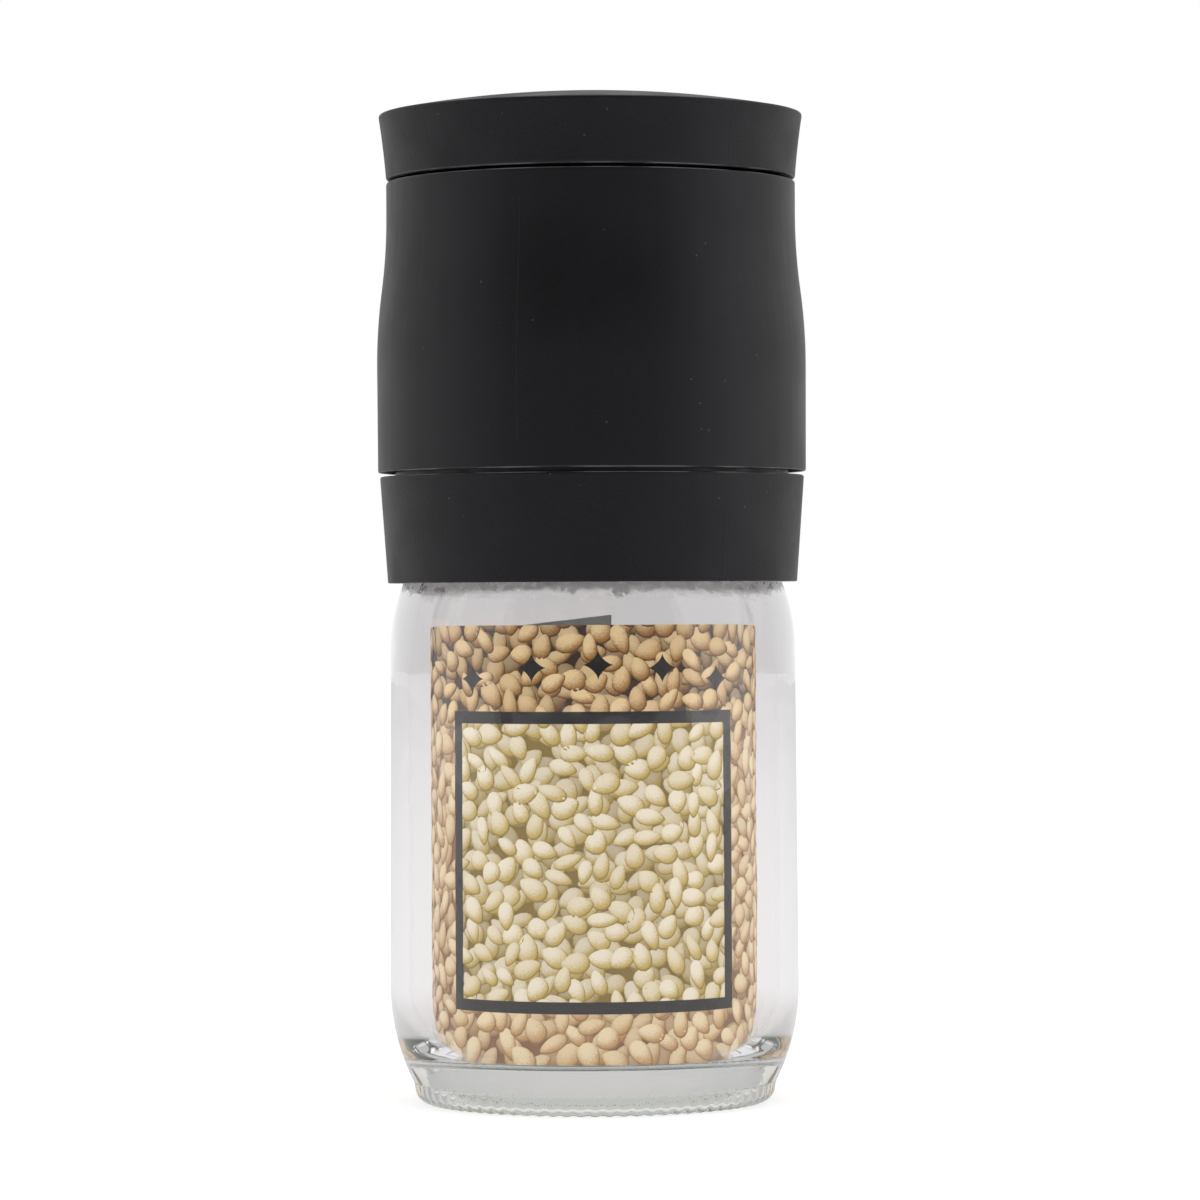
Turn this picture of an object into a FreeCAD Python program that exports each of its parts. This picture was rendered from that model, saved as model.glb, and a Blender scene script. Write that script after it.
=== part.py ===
"""Hand-cranked sesame mill: a glass jar with a screw-on grinding head, a conical burr set and a push-on cap.

The mill stands on its jar with the head on top. +Z is up, and the origin is the centre of the jar's foot.
In use it is turned upside down: the jar and collar are held, and the grip is cranked round them.
"""
import FreeCAD, Part
import math
import os

import Sketcher

Vector = FreeCAD.Vector
doc = FreeCAD.newDocument("sesame_mill")
sheet = doc.addObject("Spreadsheet::Sheet", "Sizes")


class Size:
    """A value together with the spreadsheet expression that gives it."""

    def __init__(self, value, text):
        self.value = float(value)
        self.text = text

    def __add__(self, other):
        return Size(self.value + number(other), f"({self.text} + {words(other)})")

    def __sub__(self, other):
        return Size(self.value - number(other), f"({self.text} - {words(other)})")

    def __mul__(self, other):
        return Size(self.value * number(other), f"({self.text} * {words(other)})")

    def __truediv__(self, other):
        return Size(self.value / number(other), f"({self.text} / {words(other)})")

    def __neg__(self):
        return Size(-self.value, f"(-{self.text})")


def number(size):
    return size.value if isinstance(size, Size) else float(size)


def words(size):
    return size.text if isinstance(size, Size) else f"({size})"


def cell(alias, value):
    """Puts a driving dimension in the next row of the sheet. Lengths are millimetres, angles degrees."""
    cell.row += 1
    sheet.set(f"A{cell.row}", alias.replace("_", " "))
    sheet.set(f"B{cell.row}", str(value))
    sheet.setAlias(f"B{cell.row}", alias)
    return Size(value, f"Sizes.{alias}")


cell.row = 0


# Helpers that draw and build
class Bend:
    """The arc that leads from one corner of an outline to the next, turning left or right."""

    def __init__(self, radius, turn):
        self.radius = radius
        self.turn = turn


def left(radius):
    return Bend(radius, 1)


def right(radius):
    return Bend(radius, -1)


def tangent_radius(along, across):
    """Radius of the arc that leaves a straight wall smoothly and is `across` away from it after `along`."""
    return (along * along + across * across) / (across * 2)


def fix(sketch, kind, geometry, point, size):
    """Constrains one thing in a sketch and ties it to the sheet."""
    if point is None:
        index = sketch.addConstraint(Sketcher.Constraint(kind, geometry, number(size)))
    else:
        index = sketch.addConstraint(Sketcher.Constraint(kind, geometry, point, number(size)))
    if isinstance(size, Size):
        sketch.setExpression(f"Constraints[{index}]", size.text)


def arc_between(start, end, bend):
    """The shorter arc from start to end. A sketch keeps every arc anticlockwise."""
    chord = end - start
    radius = number(bend.radius)
    reach = math.sqrt(radius**2 - (chord.Length / 2) ** 2)
    aside = Vector(-chord.y, chord.x, 0).normalize() * reach * bend.turn
    centre = (start + end) / 2 + aside
    first, last = (start, end) if bend.turn > 0 else (end, start)
    angles = [math.atan2(p.y - centre.y, p.x - centre.x) for p in (first, last)]
    return Part.ArcOfCircle(Part.Circle(centre, Vector(0, 0, 1), radius), *angles)


def draw_outline(sketch, corners):
    """Draws a closed outline. A corner is (across, up) or (across, up, bend to the next corner)."""
    points = [Vector(number(c[0]), number(c[1]), 0) for c in corners]
    ends = []
    for i, corner in enumerate(corners):
        start, end = points[i], points[(i + 1) % len(points)]
        if len(corner) == 2:
            geometry = sketch.addGeometry(Part.LineSegment(start, end), False)
            ends.append((geometry, 1, 2))
            continue
        bend = corner[2]
        geometry = sketch.addGeometry(arc_between(start, end, bend), False)
        ends.append((geometry, 1, 2) if bend.turn > 0 else (geometry, 2, 1))
        fix(sketch, "Radius", geometry, None, bend.radius)
    for i, corner in enumerate(corners):
        geometry, start, end = ends[i]
        follower, follower_start, _ = ends[(i + 1) % len(corners)]
        sketch.addConstraint(Sketcher.Constraint("Coincident", geometry, end, follower, follower_start))
        fix(sketch, "DistanceX", geometry, start, corner[0])
        fix(sketch, "DistanceY", geometry, start, corner[1])


def draw_circle(sketch, across, up, radius):
    centre = Vector(number(across), number(up), 0)
    geometry = sketch.addGeometry(Part.Circle(centre, Vector(0, 0, 1), number(radius)))
    fix(sketch, "DistanceX", geometry, 3, across)
    fix(sketch, "DistanceY", geometry, 3, up)
    fix(sketch, "Radius", geometry, None, radius)


def new_body(label, several=False):
    body = doc.addObject("PartDesign::Body", label)
    body.Label = label
    body.AllowCompound = several
    return body


def origin_feature(body, role):
    return next(f for f in body.Origin.OriginFeatures if f.Role == role)


def new_sketch(body, role, lift=None, turn=None, turn_axis=Vector(0, 0, 1)):
    """A sketch on one of the body's origin planes, lifted off it and turned about an axis of its own."""
    sketch = body.newObject("Sketcher::SketchObject", "Sketch")
    sketch.AttachmentSupport = [(origin_feature(body, role), "")]
    sketch.MapMode = "FlatFace"
    rotation = FreeCAD.Rotation(turn_axis, number(turn or 0))
    sketch.AttachmentOffset = FreeCAD.Placement(Vector(0, 0, number(lift or 0)), rotation)
    if isinstance(lift, Size):
        sketch.setExpression("AttachmentOffset.Base.z", lift.text)
    if isinstance(turn, Size):
        sketch.setExpression("AttachmentOffset.Rotation.Angle", turn.text)
    return sketch


def feature(body, kind, sketch, **sizes):
    """Adds a sketch-based feature, and stops the build if it changed nothing."""
    doc.recompute()
    before = body.Shape.Volume if body.Tip else 0.0
    made = body.newObject(f"PartDesign::{kind}", kind)
    made.Profile = sketch
    for name, size in sizes.items():
        if isinstance(size, Size):
            setattr(made, name, size.value)
            made.setExpression(name, size.text)
        else:
            setattr(made, name, size)
    doc.recompute()
    change = body.Shape.Volume - before
    cuts = kind in ("Pocket", "Groove", "SubtractiveLoft")
    if not made.isValid() or (change > -1e-4 if cuts else change < 1e-4):
        raise RuntimeError(f"{body.Label}: {made.Label} changed the volume by {change:.4f}")
    return made


def repeat(body, original, count):
    """Repeats a feature evenly round the mill's axis."""
    pattern = body.newObject("PartDesign::PolarPattern", "PolarPattern")
    pattern.Originals = [original]
    pattern.Axis = (origin_feature(body, "Z_Axis"), [""])
    pattern.Angle = 360
    pattern.Occurrences = int(number(count))
    if isinstance(count, Size):
        pattern.setExpression("Occurrences", count.text)
    body.Tip = pattern
    doc.recompute()
    return pattern


def turn_profile(body, corners, sweep=360, start=None):
    """Revolves an outline of (radius, height) corners round the mill's axis."""
    sketch = new_sketch(body, "XZ_Plane", turn=start, turn_axis=Vector(0, 1, 0))
    draw_outline(sketch, corners)
    return feature(body, "Revolution", sketch, ReferenceAxis=(sketch, ["V_Axis"]), Angle=sweep)


def turned(label, corners):
    body = new_body(label)
    turn_profile(body, corners)
    return body


def ring_corners(inner, outer, low, high):
    return [(inner, low), (outer, low), (outer, high), (inner, high)]


def cut_hole(body, radius, circle, top, depth, count=1, angle=0):
    """Cuts round holes downwards from a height, on a circle round the axis."""
    sketch = new_sketch(body, "XY_Plane", lift=top, turn=angle)
    draw_circle(sketch, circle, 0, radius)
    hole = feature(body, "Pocket", sketch, Length=depth)
    if number(count) > 1:
        repeat(body, hole, count)


def soften(body, kind, size, places):
    """Rounds (Fillet) or bevels (Chamfer) the circular edges at the given (radius, height) places."""
    base = body.Tip
    names = []
    for index, edge in enumerate(base.Shape.Edges, 1):
        if edge.Degenerated or not isinstance(edge.Curve, Part.Circle):
            continue
        centre = edge.Curve.Center
        for radius, height in places:
            near = abs(edge.Curve.Radius - number(radius)) < 0.01 and abs(centre.z - number(height)) < 0.01
            if near and math.hypot(centre.x, centre.y) < 0.01:
                names.append(f"Edge{index}")
    if len(names) < len(places):
        raise RuntimeError(f"{body.Label}: found {len(names)} of the {len(places)} edges to soften")
    made = body.newObject(f"PartDesign::{kind}", kind)
    made.Base = (base, names)
    field = "Radius" if kind == "Fillet" else "Size"
    setattr(made, field, number(size))
    made.setExpression(field, words(size))
    doc.recompute()
    if not made.isValid():
        raise RuntimeError(f"{body.Label}: {kind} failed")


# Clearances
seat_gap = cell("seat_gap", 0.05)
slip_gap = cell("slip_gap", 0.15)
loose_gap = cell("loose_gap", 0.3)

# Jar
jar_height = cell("jar_height", 88.2)
jar_body_radius = cell("jar_body_radius", 30.0)
jar_taper = cell("jar_taper", 0.3)
jar_wall = cell("jar_wall", 2.8)
jar_belly_height = cell("jar_belly_height", 17.0)
jar_heel_inset = cell("jar_heel_inset", 4.59)
jar_heel_height = cell("jar_heel_height", 1.0)
jar_foot_inset = cell("jar_foot_inset", 1.73)
jar_foot_width = cell("jar_foot_width", 3.7)
jar_punt_depth = cell("jar_punt_depth", 1.8)
jar_floor = cell("jar_floor", 7.2)
jar_floor_corner = cell("jar_floor_corner", 5.0)
jar_shoulder_drop = cell("jar_shoulder_drop", 22.2)
jar_shoulder_width = cell("jar_shoulder_width", 4.2)
jar_neck_length = cell("jar_neck_length", 8.7)
jar_neck_wall = cell("jar_neck_wall", 2.8)
jar_neck_root = cell("jar_neck_root", 1.0)
jar_lip_round = cell("jar_lip_round", 0.8)

jar_top_radius = jar_body_radius - jar_taper
jar_bore_radius = jar_body_radius - jar_wall
jar_heel_radius = jar_body_radius - jar_heel_inset
jar_foot_radius = jar_heel_radius - jar_foot_inset
jar_shoulder_low = jar_height - jar_shoulder_drop
jar_neck_low = jar_height - jar_neck_length
jar_neck_radius = jar_body_radius - jar_shoulder_width
jar_mouth_radius = jar_neck_radius - jar_neck_wall

# Card rolled up inside the jar
card_thickness = cell("card_thickness", 0.35)
card_slack = cell("card_slack", 3.3)
card_stand = cell("card_stand", 0.6)
card_drop = cell("card_drop", 18.2)
card_rise = cell("card_rise", 1.3)
card_end_angle = cell("card_end_angle", 83.0)
card_sweep = cell("card_sweep", 350.0)

card_radius = jar_bore_radius - card_slack
card_low = jar_floor + card_stand
card_high = jar_height - card_drop

# Gasket and collar
gasket_thickness = cell("gasket_thickness", 1.3)
gasket_overhang = cell("gasket_overhang", 0.5)
deck_thickness = cell("deck_thickness", 2.2)
deck_ledge = cell("deck_ledge", 4.5)
collar_height = cell("collar_height", 15.6)
collar_reach = cell("collar_reach", 4.25)
collar_flare = cell("collar_flare", 1.1)
collar_wall = cell("collar_wall", 1.3)
thread_room = cell("thread_room", 1.5)
sleeve_wall = cell("sleeve_wall", 1.1)
sleeve_recess = cell("sleeve_recess", 2.3)
spigot_step = cell("spigot_step", 0.2)
spigot_wall = cell("spigot_wall", 2.1)
spigot_land = cell("spigot_land", 1.5)
edge_break = cell("edge_break", 0.35)

gasket_low = jar_height + seat_gap
gasket_high = gasket_low + gasket_thickness
deck_low = gasket_high + seat_gap
deck_high = deck_low + deck_thickness
collar_low = deck_high - collar_height
collar_low_radius = jar_neck_radius + collar_reach
collar_high_radius = collar_low_radius + collar_flare
sleeve_bore = jar_neck_radius + thread_room
deck_bore = jar_mouth_radius - deck_ledge
spigot_radius = jar_neck_radius + spigot_step
spigot_bore = spigot_radius - spigot_wall

# Slip ring and snap ring, which carry the grip
slip_ring_thickness = cell("slip_ring_thickness", 1.2)
slip_ring_width = cell("slip_ring_width", 2.8)
snap_ring_thickness = cell("snap_ring_thickness", 1.2)
snap_ring_overlap = cell("snap_ring_overlap", 1.4)
snap_ring_sweep = cell("snap_ring_sweep", 338.0)
snap_groove_depth = cell("snap_groove_depth", 0.8)
web_thickness = cell("web_thickness", 3.0)

slip_ring_high = deck_high + slip_ring_thickness
web_low = slip_ring_high + slip_gap
web_high = web_low + web_thickness
snap_ring_low = web_high + slip_gap
snap_ring_high = snap_ring_low + snap_ring_thickness
spigot_high = snap_ring_high + seat_gap + spigot_land

# Bridge across the collar, which holds the shaft
bridge_ring_height = cell("bridge_ring_height", 2.4)
bridge_arms = cell("bridge_arms", 3)
bridge_arm_width = cell("bridge_arm_width", 3.6)
bridge_arm_height = cell("bridge_arm_height", 4.0)
bridge_hub_radius = cell("bridge_hub_radius", 6.0)
bridge_hub_drop = cell("bridge_hub_drop", 0.8)
bridge_hub_height = cell("bridge_hub_height", 6.0)
bridge_screw_inset = cell("bridge_screw_inset", 2.7)
bridge_boss_radius = cell("bridge_boss_radius", 1.75)
bridge_boss_drop = cell("bridge_boss_drop", 1.2)

bridge_hub_low = deck_high - bridge_hub_drop
bridge_hub_high = bridge_hub_low + bridge_hub_height
bridge_ring_high = deck_high + bridge_ring_height
bridge_screw_circle = jar_mouth_radius - bridge_screw_inset

# Screws
screw_radius = cell("screw_radius", 1.0)
screw_head_radius = cell("screw_head_radius", 1.8)
screw_head_height = cell("screw_head_height", 1.2)
screw_clearance = cell("screw_clearance", 0.25)
bridge_screw_length = cell("bridge_screw_length", 5.4)
holder_screw_length = cell("holder_screw_length", 8.0)
screw_count = cell("screw_count", 3)

# Shaft, spring and washers
shaft_side = cell("shaft_side", 4.4)
shaft_head_radius = cell("shaft_head_radius", 4.8)
shaft_head_height = cell("shaft_head_height", 1.4)
shaft_thread_radius = cell("shaft_thread_radius", 2.0)
shaft_thread_length = cell("shaft_thread_length", 5.0)
spring_length = cell("spring_length", 9.0)
spring_radius = cell("spring_radius", 4.6)
spring_wire = cell("spring_wire", 0.8)
spring_turns = cell("spring_turns", 4.5)
washer_thickness = cell("washer_thickness", 0.6)
spring_washer_radius = cell("spring_washer_radius", 6.8)
adjuster_washer_radius = cell("adjuster_washer_radius", 6.0)

washer_bore = shaft_side * 0.75
spring_high = bridge_hub_high + spring_length

# Burrs: a ribbed cone that turns with the shaft inside a ribbed ring that turns with the grip
burr_ring_radius = cell("burr_ring_radius", 17.6)
burr_ring_wall = cell("burr_ring_wall", 3.1)
cone_height = cell("cone_height", 17.0)
cone_flare_height = cell("cone_flare_height", 6.0)
cone_flare_width = cell("cone_flare_width", 3.5)
cone_land = cell("cone_land", 0.6)
cone_taper = cell("cone_taper", 3.4)
cone_recess_radius = cell("cone_recess_radius", 8.8)
cone_recess_depth = cell("cone_recess_depth", 5.0)
hub_radius = cell("hub_radius", 5.5)
hub_flange_radius = cell("hub_flange_radius", 7.6)
hub_flange_height = cell("hub_flange_height", 1.8)
grind_gap = cell("grind_gap", 0.93)
burr_ring_rise = cell("burr_ring_rise", 1.0)
burr_ring_drop = cell("burr_ring_drop", 0.8)
burr_mouth_chamfer = cell("burr_mouth_chamfer", 0.7)
fine_teeth = cell("fine_teeth", 24)
coarse_teeth = cell("coarse_teeth", 6)
fine_tooth_depth = cell("fine_tooth_depth", 0.8)
fine_tooth_width = cell("fine_tooth_width", 0.95)
coarse_tooth_depth = cell("coarse_tooth_depth", 1.5)
coarse_tooth_width = cell("coarse_tooth_width", 2.2)
fine_tooth_skew = cell("fine_tooth_skew", 14.0)
coarse_tooth_skew = cell("coarse_tooth_skew", 30.0)

cone_low = spring_high + washer_thickness
cone_high = cone_low + cone_height
cone_flare_high = cone_high - cone_land
cone_knee = cone_flare_high - cone_flare_height
cone_high_radius = burr_ring_radius - burr_ring_wall
cone_knee_radius = cone_high_radius - cone_flare_width
cone_low_radius = cone_knee_radius - cone_taper
cone_flare_slope = cone_flare_width / cone_flare_height
recess_floor = cone_high - cone_recess_depth
hub_high = recess_floor + hub_flange_height
burr_ring_low = cone_low + burr_ring_rise
burr_ring_high = cone_high - burr_ring_drop
burr_throat_radius = cone_knee_radius + grind_gap

# Adjuster knob on the shaft's thread
knob_radius = cell("knob_radius", 8.0)
knob_height = cell("knob_height", 10.0)
knob_roof = cell("knob_roof", 1.4)
knob_counterbore_depth = cell("knob_counterbore_depth", 4.3)
knob_flutes = cell("knob_flutes", 12)
knob_flute_radius = cell("knob_flute_radius", 1.3)
knob_edge = cell("knob_edge", 0.8)
adjuster_travel = cell("adjuster_travel", 1.2)

knob_low = hub_high + washer_thickness
knob_high = knob_low + knob_height
shaft_high = knob_high - knob_roof - adjuster_travel - slip_gap - seat_gap
shaft_square_high = shaft_high - shaft_thread_length

# Grip, the outer sleeve that is cranked round
seam_gap = cell("seam_gap", 0.6)
cap_gap = cell("cap_gap", 0.5)
grip_step = cell("grip_step", 0.28)
grip_belly_swell = cell("grip_belly_swell", 0.07)
grip_belly_rise = cell("grip_belly_rise", 15.6)
grip_waist_drop = cell("grip_waist_drop", 4.9)
grip_waist_inset = cell("grip_waist_inset", 1.47)
grip_wall = cell("grip_wall", 1.7)
ledge_rise = cell("ledge_rise", 5.2)
grip_rim_height = cell("grip_rim_height", 6.9)
ledge_thickness = cell("ledge_thickness", 2.2)
ledge_width = cell("ledge_width", 4.4)
grip_ribs = cell("grip_ribs", 12)
grip_rib_width = cell("grip_rib_width", 1.0)
grip_rib_depth = cell("grip_rib_depth", 0.9)
boss_radius = cell("boss_radius", 2.3)
boss_length = cell("boss_length", 8.0)

grip_low = deck_high + seam_gap
ledge_high = burr_ring_high + ledge_rise
ledge_low = ledge_high - ledge_thickness
grip_high = ledge_high + grip_rim_height
grip_low_radius = collar_high_radius + grip_step
grip_belly_radius = grip_low_radius + grip_belly_swell
grip_belly = grip_low + grip_belly_rise
grip_waist = grip_high - grip_waist_drop
grip_waist_radius = grip_belly_radius - grip_waist_inset
grip_bore = grip_waist_radius - grip_wall

# Holder, the inner sleeve that carries the burr ring
holder_flange_thickness = cell("holder_flange_thickness", 2.2)
holder_tube_wall = cell("holder_tube_wall", 2.05)
holder_lip_thickness = cell("holder_lip_thickness", 1.2)
holder_lip_step = cell("holder_lip_step", 0.5)
holder_funnel_wall = cell("holder_funnel_wall", 1.6)
holder_skirt_wall = cell("holder_skirt_wall", 1.4)
holder_skirt_dip = cell("holder_skirt_dip", 3.4)
holder_skirt_rise = cell("holder_skirt_rise", 2.0)
holder_throat_rise = cell("holder_throat_rise", 0.4)
outlet_radius = cell("outlet_radius", 21.0)
outlet_wall = cell("outlet_wall", 1.6)
clamp_ring_height = cell("clamp_ring_height", 2.6)
clamp_ring_width = cell("clamp_ring_width", 1.7)

holder_bore = burr_ring_radius + slip_gap
holder_tube_radius = holder_bore + holder_tube_wall
holder_flange_high = ledge_high + holder_flange_thickness
holder_rim_high = grip_high + cap_gap - seat_gap
holder_skirt_radius = spigot_bore - loose_gap
holder_skirt_bore = holder_skirt_radius - holder_skirt_wall
holder_lip_bore = burr_throat_radius + holder_lip_step
holder_throat = ledge_high + holder_throat_rise
holder_screw_circle = grip_bore - boss_radius + loose_gap
clamp_ring_high = burr_ring_high + clamp_ring_height

# Cap
cap_side = cell("cap_side", 9.4)
cap_dome = cell("cap_dome", 3.0)
cap_flare = cell("cap_flare", 1.1)
cap_hollow = cell("cap_hollow", 120.0)
cap_wall = cell("cap_wall", 1.6)
cap_plug_reach = cell("cap_plug_reach", 3.4)
cap_plug_wall = cell("cap_plug_wall", 1.3)
cap_ribs = cell("cap_ribs", 6)
cap_rib_width = cell("cap_rib_width", 1.1)

cap_low = grip_high + cap_gap
cap_rim = cap_low + cap_side
cap_high = cap_rim + cap_dome
cap_rim_radius = grip_waist_radius + cap_flare
cap_plug_radius = outlet_radius - loose_gap
cap_bore = grip_waist_radius - cap_wall


def dome_radius(reach, rise):
    """Radius of the sphere whose cap is `reach` wide from its axis and `rise` high."""
    return (reach * reach + rise * rise) / (rise * 2)


def glass_jar():
    """Blown jar: thick foot with a hollow underneath, inward lower curve, soft shoulder and neck."""
    root_radius = jar_neck_radius + jar_neck_root
    root_height = jar_neck_low - jar_neck_root
    lower_curve = tangent_radius(jar_belly_height - jar_heel_height, jar_heel_inset)
    shoulder_curve = tangent_radius(root_height - jar_shoulder_low, jar_top_radius - root_radius)
    foot_inner = jar_foot_radius - jar_foot_width
    inner_shoulder_low = jar_shoulder_low - jar_wall
    inner_narrowing = jar_bore_radius - jar_mouth_radius
    inner_shoulder_curve = tangent_radius(jar_neck_low - inner_shoulder_low, inner_narrowing)
    body = turned(
        "glass_jar",
        [
            (0, jar_punt_depth, right(dome_radius(foot_inner, jar_punt_depth))),
            (foot_inner, 0),
            (jar_foot_radius, 0, left(tangent_radius(jar_foot_inset, jar_heel_height))),
            (jar_heel_radius, jar_heel_height, left(lower_curve)),
            (jar_body_radius, jar_belly_height),
            (jar_top_radius, jar_shoulder_low, left(shoulder_curve)),
            (root_radius, root_height, right(jar_neck_root)),
            (jar_neck_radius, jar_neck_low),
            (jar_neck_radius, jar_height),
            (jar_mouth_radius, jar_height),
            (jar_mouth_radius, jar_neck_low, right(inner_shoulder_curve)),
            (jar_bore_radius, inner_shoulder_low),
            (jar_bore_radius, jar_floor + jar_floor_corner, right(jar_floor_corner)),
            (jar_bore_radius - jar_floor_corner, jar_floor),
            (0, jar_floor),
        ],
    )
    lip = [(jar_neck_radius, jar_height), (jar_mouth_radius, jar_height)]
    soften(body, "Fillet", jar_lip_round, lip)
    return body


def printed_card():
    """Printed card rolled up in the jar. Its ends don't meet at the back, and one stands higher."""
    body = new_body("printed_card")
    top = card_high + card_rise
    corners = ring_corners(card_radius - card_thickness, card_radius, card_low, top)
    turn_profile(body, corners, sweep=card_sweep, start=card_end_angle)
    beyond = jar_bore_radius
    front = new_sketch(body, "XZ_Plane")
    draw_outline(front, [(-beyond, card_high), (beyond, card_high), (beyond, top + 1), (-beyond, top + 1)])
    feature(body, "Pocket", front, Length=beyond, Reversed=True)
    back = new_sketch(body, "XZ_Plane")
    end_across = card_radius * math.cos(math.radians(card_end_angle.value)) + card_thickness * 2
    draw_outline(
        back,
        [
            (-card_radius, card_high),
            (end_across, top),
            (end_across, card_high),
            (beyond, card_high),
            (beyond, top + 1),
            (-card_radius, top + 1),
        ],
    )
    feature(body, "Pocket", back, Length=beyond)
    return body


def jar_gasket():
    """Soft ring in the collar that the jar's lip seals against."""
    inner = jar_mouth_radius - gasket_overhang
    outer = jar_neck_radius + gasket_overhang
    return turned("jar_gasket", ring_corners(inner, outer, gasket_low, gasket_high))


def jar_collar():
    """Moulded collar: flared skirt, threaded sleeve, deck over the jar's lip and spigot for the grip."""
    sleeve_radius = sleeve_bore + sleeve_wall
    sleeve_low = collar_low + sleeve_recess
    skirt_top = deck_low - edge_break
    flare = collar_flare * (skirt_top - collar_low) / collar_height
    groove_radius = spigot_radius - snap_groove_depth
    groove_low = snap_ring_low - seat_gap
    groove_high = snap_ring_high + seat_gap
    body = turned(
        "jar_collar",
        [
            (collar_low_radius - collar_wall, collar_low),
            (collar_low_radius, collar_low),
            (collar_high_radius, deck_high),
            (spigot_radius, deck_high),
            (spigot_radius, groove_low),
            (groove_radius, groove_low),
            (groove_radius, groove_high),
            (spigot_radius, groove_high),
            (spigot_radius, spigot_high),
            (spigot_bore, spigot_high),
            (spigot_bore, deck_high),
            (deck_bore, deck_high),
            (deck_bore, deck_low),
            (sleeve_bore, deck_low),
            (sleeve_bore, sleeve_low),
            (sleeve_radius, sleeve_low),
            (sleeve_radius, skirt_top),
            (collar_low_radius + flare - collar_wall, skirt_top),
        ],
    )
    boss_low = deck_low - bridge_boss_drop
    bosses = new_sketch(body, "XY_Plane", lift=boss_low)
    draw_circle(bosses, bridge_screw_circle, 0, bridge_boss_radius)
    repeat(body, feature(body, "Pad", bosses, Length=bridge_boss_drop + deck_thickness / 2), screw_count)
    pilot = screw_radius + seat_gap
    cut_hole(body, pilot, bridge_screw_circle, deck_high, deck_thickness + bridge_boss_drop, screw_count)
    soften(
        body,
        "Fillet",
        edge_break,
        [(collar_low_radius, collar_low), (collar_high_radius, deck_high), (spigot_radius, spigot_high)],
    )
    return body


def slip_ring():
    """Low-friction ring on the collar's deck that the grip's web turns on."""
    inner = spigot_radius + seat_gap
    return turned("slip_ring", ring_corners(inner, inner + slip_ring_width, deck_high, slip_ring_high))


def snap_ring():
    """Split ring sprung into the spigot's groove. It keeps the grip on the collar."""
    body = new_body("snap_ring")
    inner = spigot_radius - snap_groove_depth + seat_gap
    outer = spigot_radius + snap_ring_overlap
    turn_profile(body, ring_corners(inner, outer, snap_ring_low, snap_ring_high), sweep=snap_ring_sweep)
    return body


def shaft_bridge():
    """Ring, hub and three arms. Sesame falls between the arms, and the shaft's square keys in the hub."""
    outer = spigot_bore - seat_gap
    body = turned("shaft_bridge", ring_corners(deck_bore, outer, deck_high, bridge_ring_high))
    arm = new_sketch(body, "XY_Plane", lift=deck_high, turn=180 / bridge_arms.value)
    half = bridge_arm_width / 2
    inner = bridge_hub_radius / 2
    outer_end = deck_bore + bridge_screw_inset
    draw_outline(arm, [(inner, -half), (outer_end, -half), (outer_end, half), (inner, half)])
    repeat(body, feature(body, "Pad", arm, Length=bridge_arm_height), bridge_arms)
    hub = new_sketch(body, "XY_Plane", lift=bridge_hub_low)
    draw_circle(hub, 0, 0, bridge_hub_radius)
    feature(body, "Pad", hub, Length=bridge_hub_height)
    square = new_sketch(body, "XY_Plane", lift=bridge_hub_high)
    draw_square(square, shaft_side / 2 + seat_gap)
    feature(body, "Pocket", square, Length=bridge_hub_height)
    hole = screw_radius + screw_clearance
    cut_hole(body, hole, bridge_screw_circle, bridge_ring_high, bridge_ring_height, screw_count)
    return body


def draw_square(sketch, half):
    draw_outline(sketch, [(-half, -half), (half, -half), (half, half), (-half, half)])


def screw_set(label, circle, seat, length):
    """Three pan-head screws that stand on their heads' seat, evenly round the axis."""
    body = new_body(label, several=True)
    shank = new_sketch(body, "XY_Plane", lift=seat - length)
    draw_circle(shank, circle, 0, screw_radius)
    repeat(body, feature(body, "Pad", shank, Length=length), screw_count)
    head = new_sketch(body, "XY_Plane", lift=seat)
    draw_circle(head, circle, 0, screw_head_radius)
    repeat(body, feature(body, "Pad", head, Length=screw_head_height), screw_count)
    drive = new_sketch(body, "XY_Plane", lift=seat + screw_head_height)
    draw_cross(drive, circle, screw_head_radius * 0.6, screw_head_radius * 0.15)
    repeat(body, feature(body, "Pocket", drive, Length=screw_head_height / 2), screw_count)
    return body


def draw_cross(sketch, centre, long, short):
    """A cross-shaped driver recess about a point on the sketch's own X axis."""
    corners = [
        (short, short), (long, short), (long, -short), (short, -short), (short, -long), (-short, -long),
        (-short, -short), (-long, -short), (-long, short), (-short, short), (-short, long), (short, long),
    ]
    draw_outline(sketch, [(centre + x, y) for x, y in corners])


def centre_shaft():
    """Headed square bar from under the bridge up through the cone, with a thread for the knob on top."""
    low = bridge_hub_low - shaft_head_height
    head_radius = shaft_head_radius
    head = [(0, low), (head_radius, low), (head_radius, bridge_hub_low), (0, bridge_hub_low)]
    body = turned("centre_shaft", head)
    square = new_sketch(body, "XY_Plane", lift=bridge_hub_low)
    draw_square(square, shaft_side / 2)
    feature(body, "Pad", square, Length=shaft_square_high - bridge_hub_low)
    thread = new_sketch(body, "XY_Plane", lift=shaft_square_high)
    draw_circle(thread, 0, 0, shaft_thread_radius)
    feature(body, "Pad", thread, Length=shaft_thread_length)
    soften(body, "Chamfer", edge_break, [(shaft_thread_radius, shaft_high)])
    return body


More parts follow.
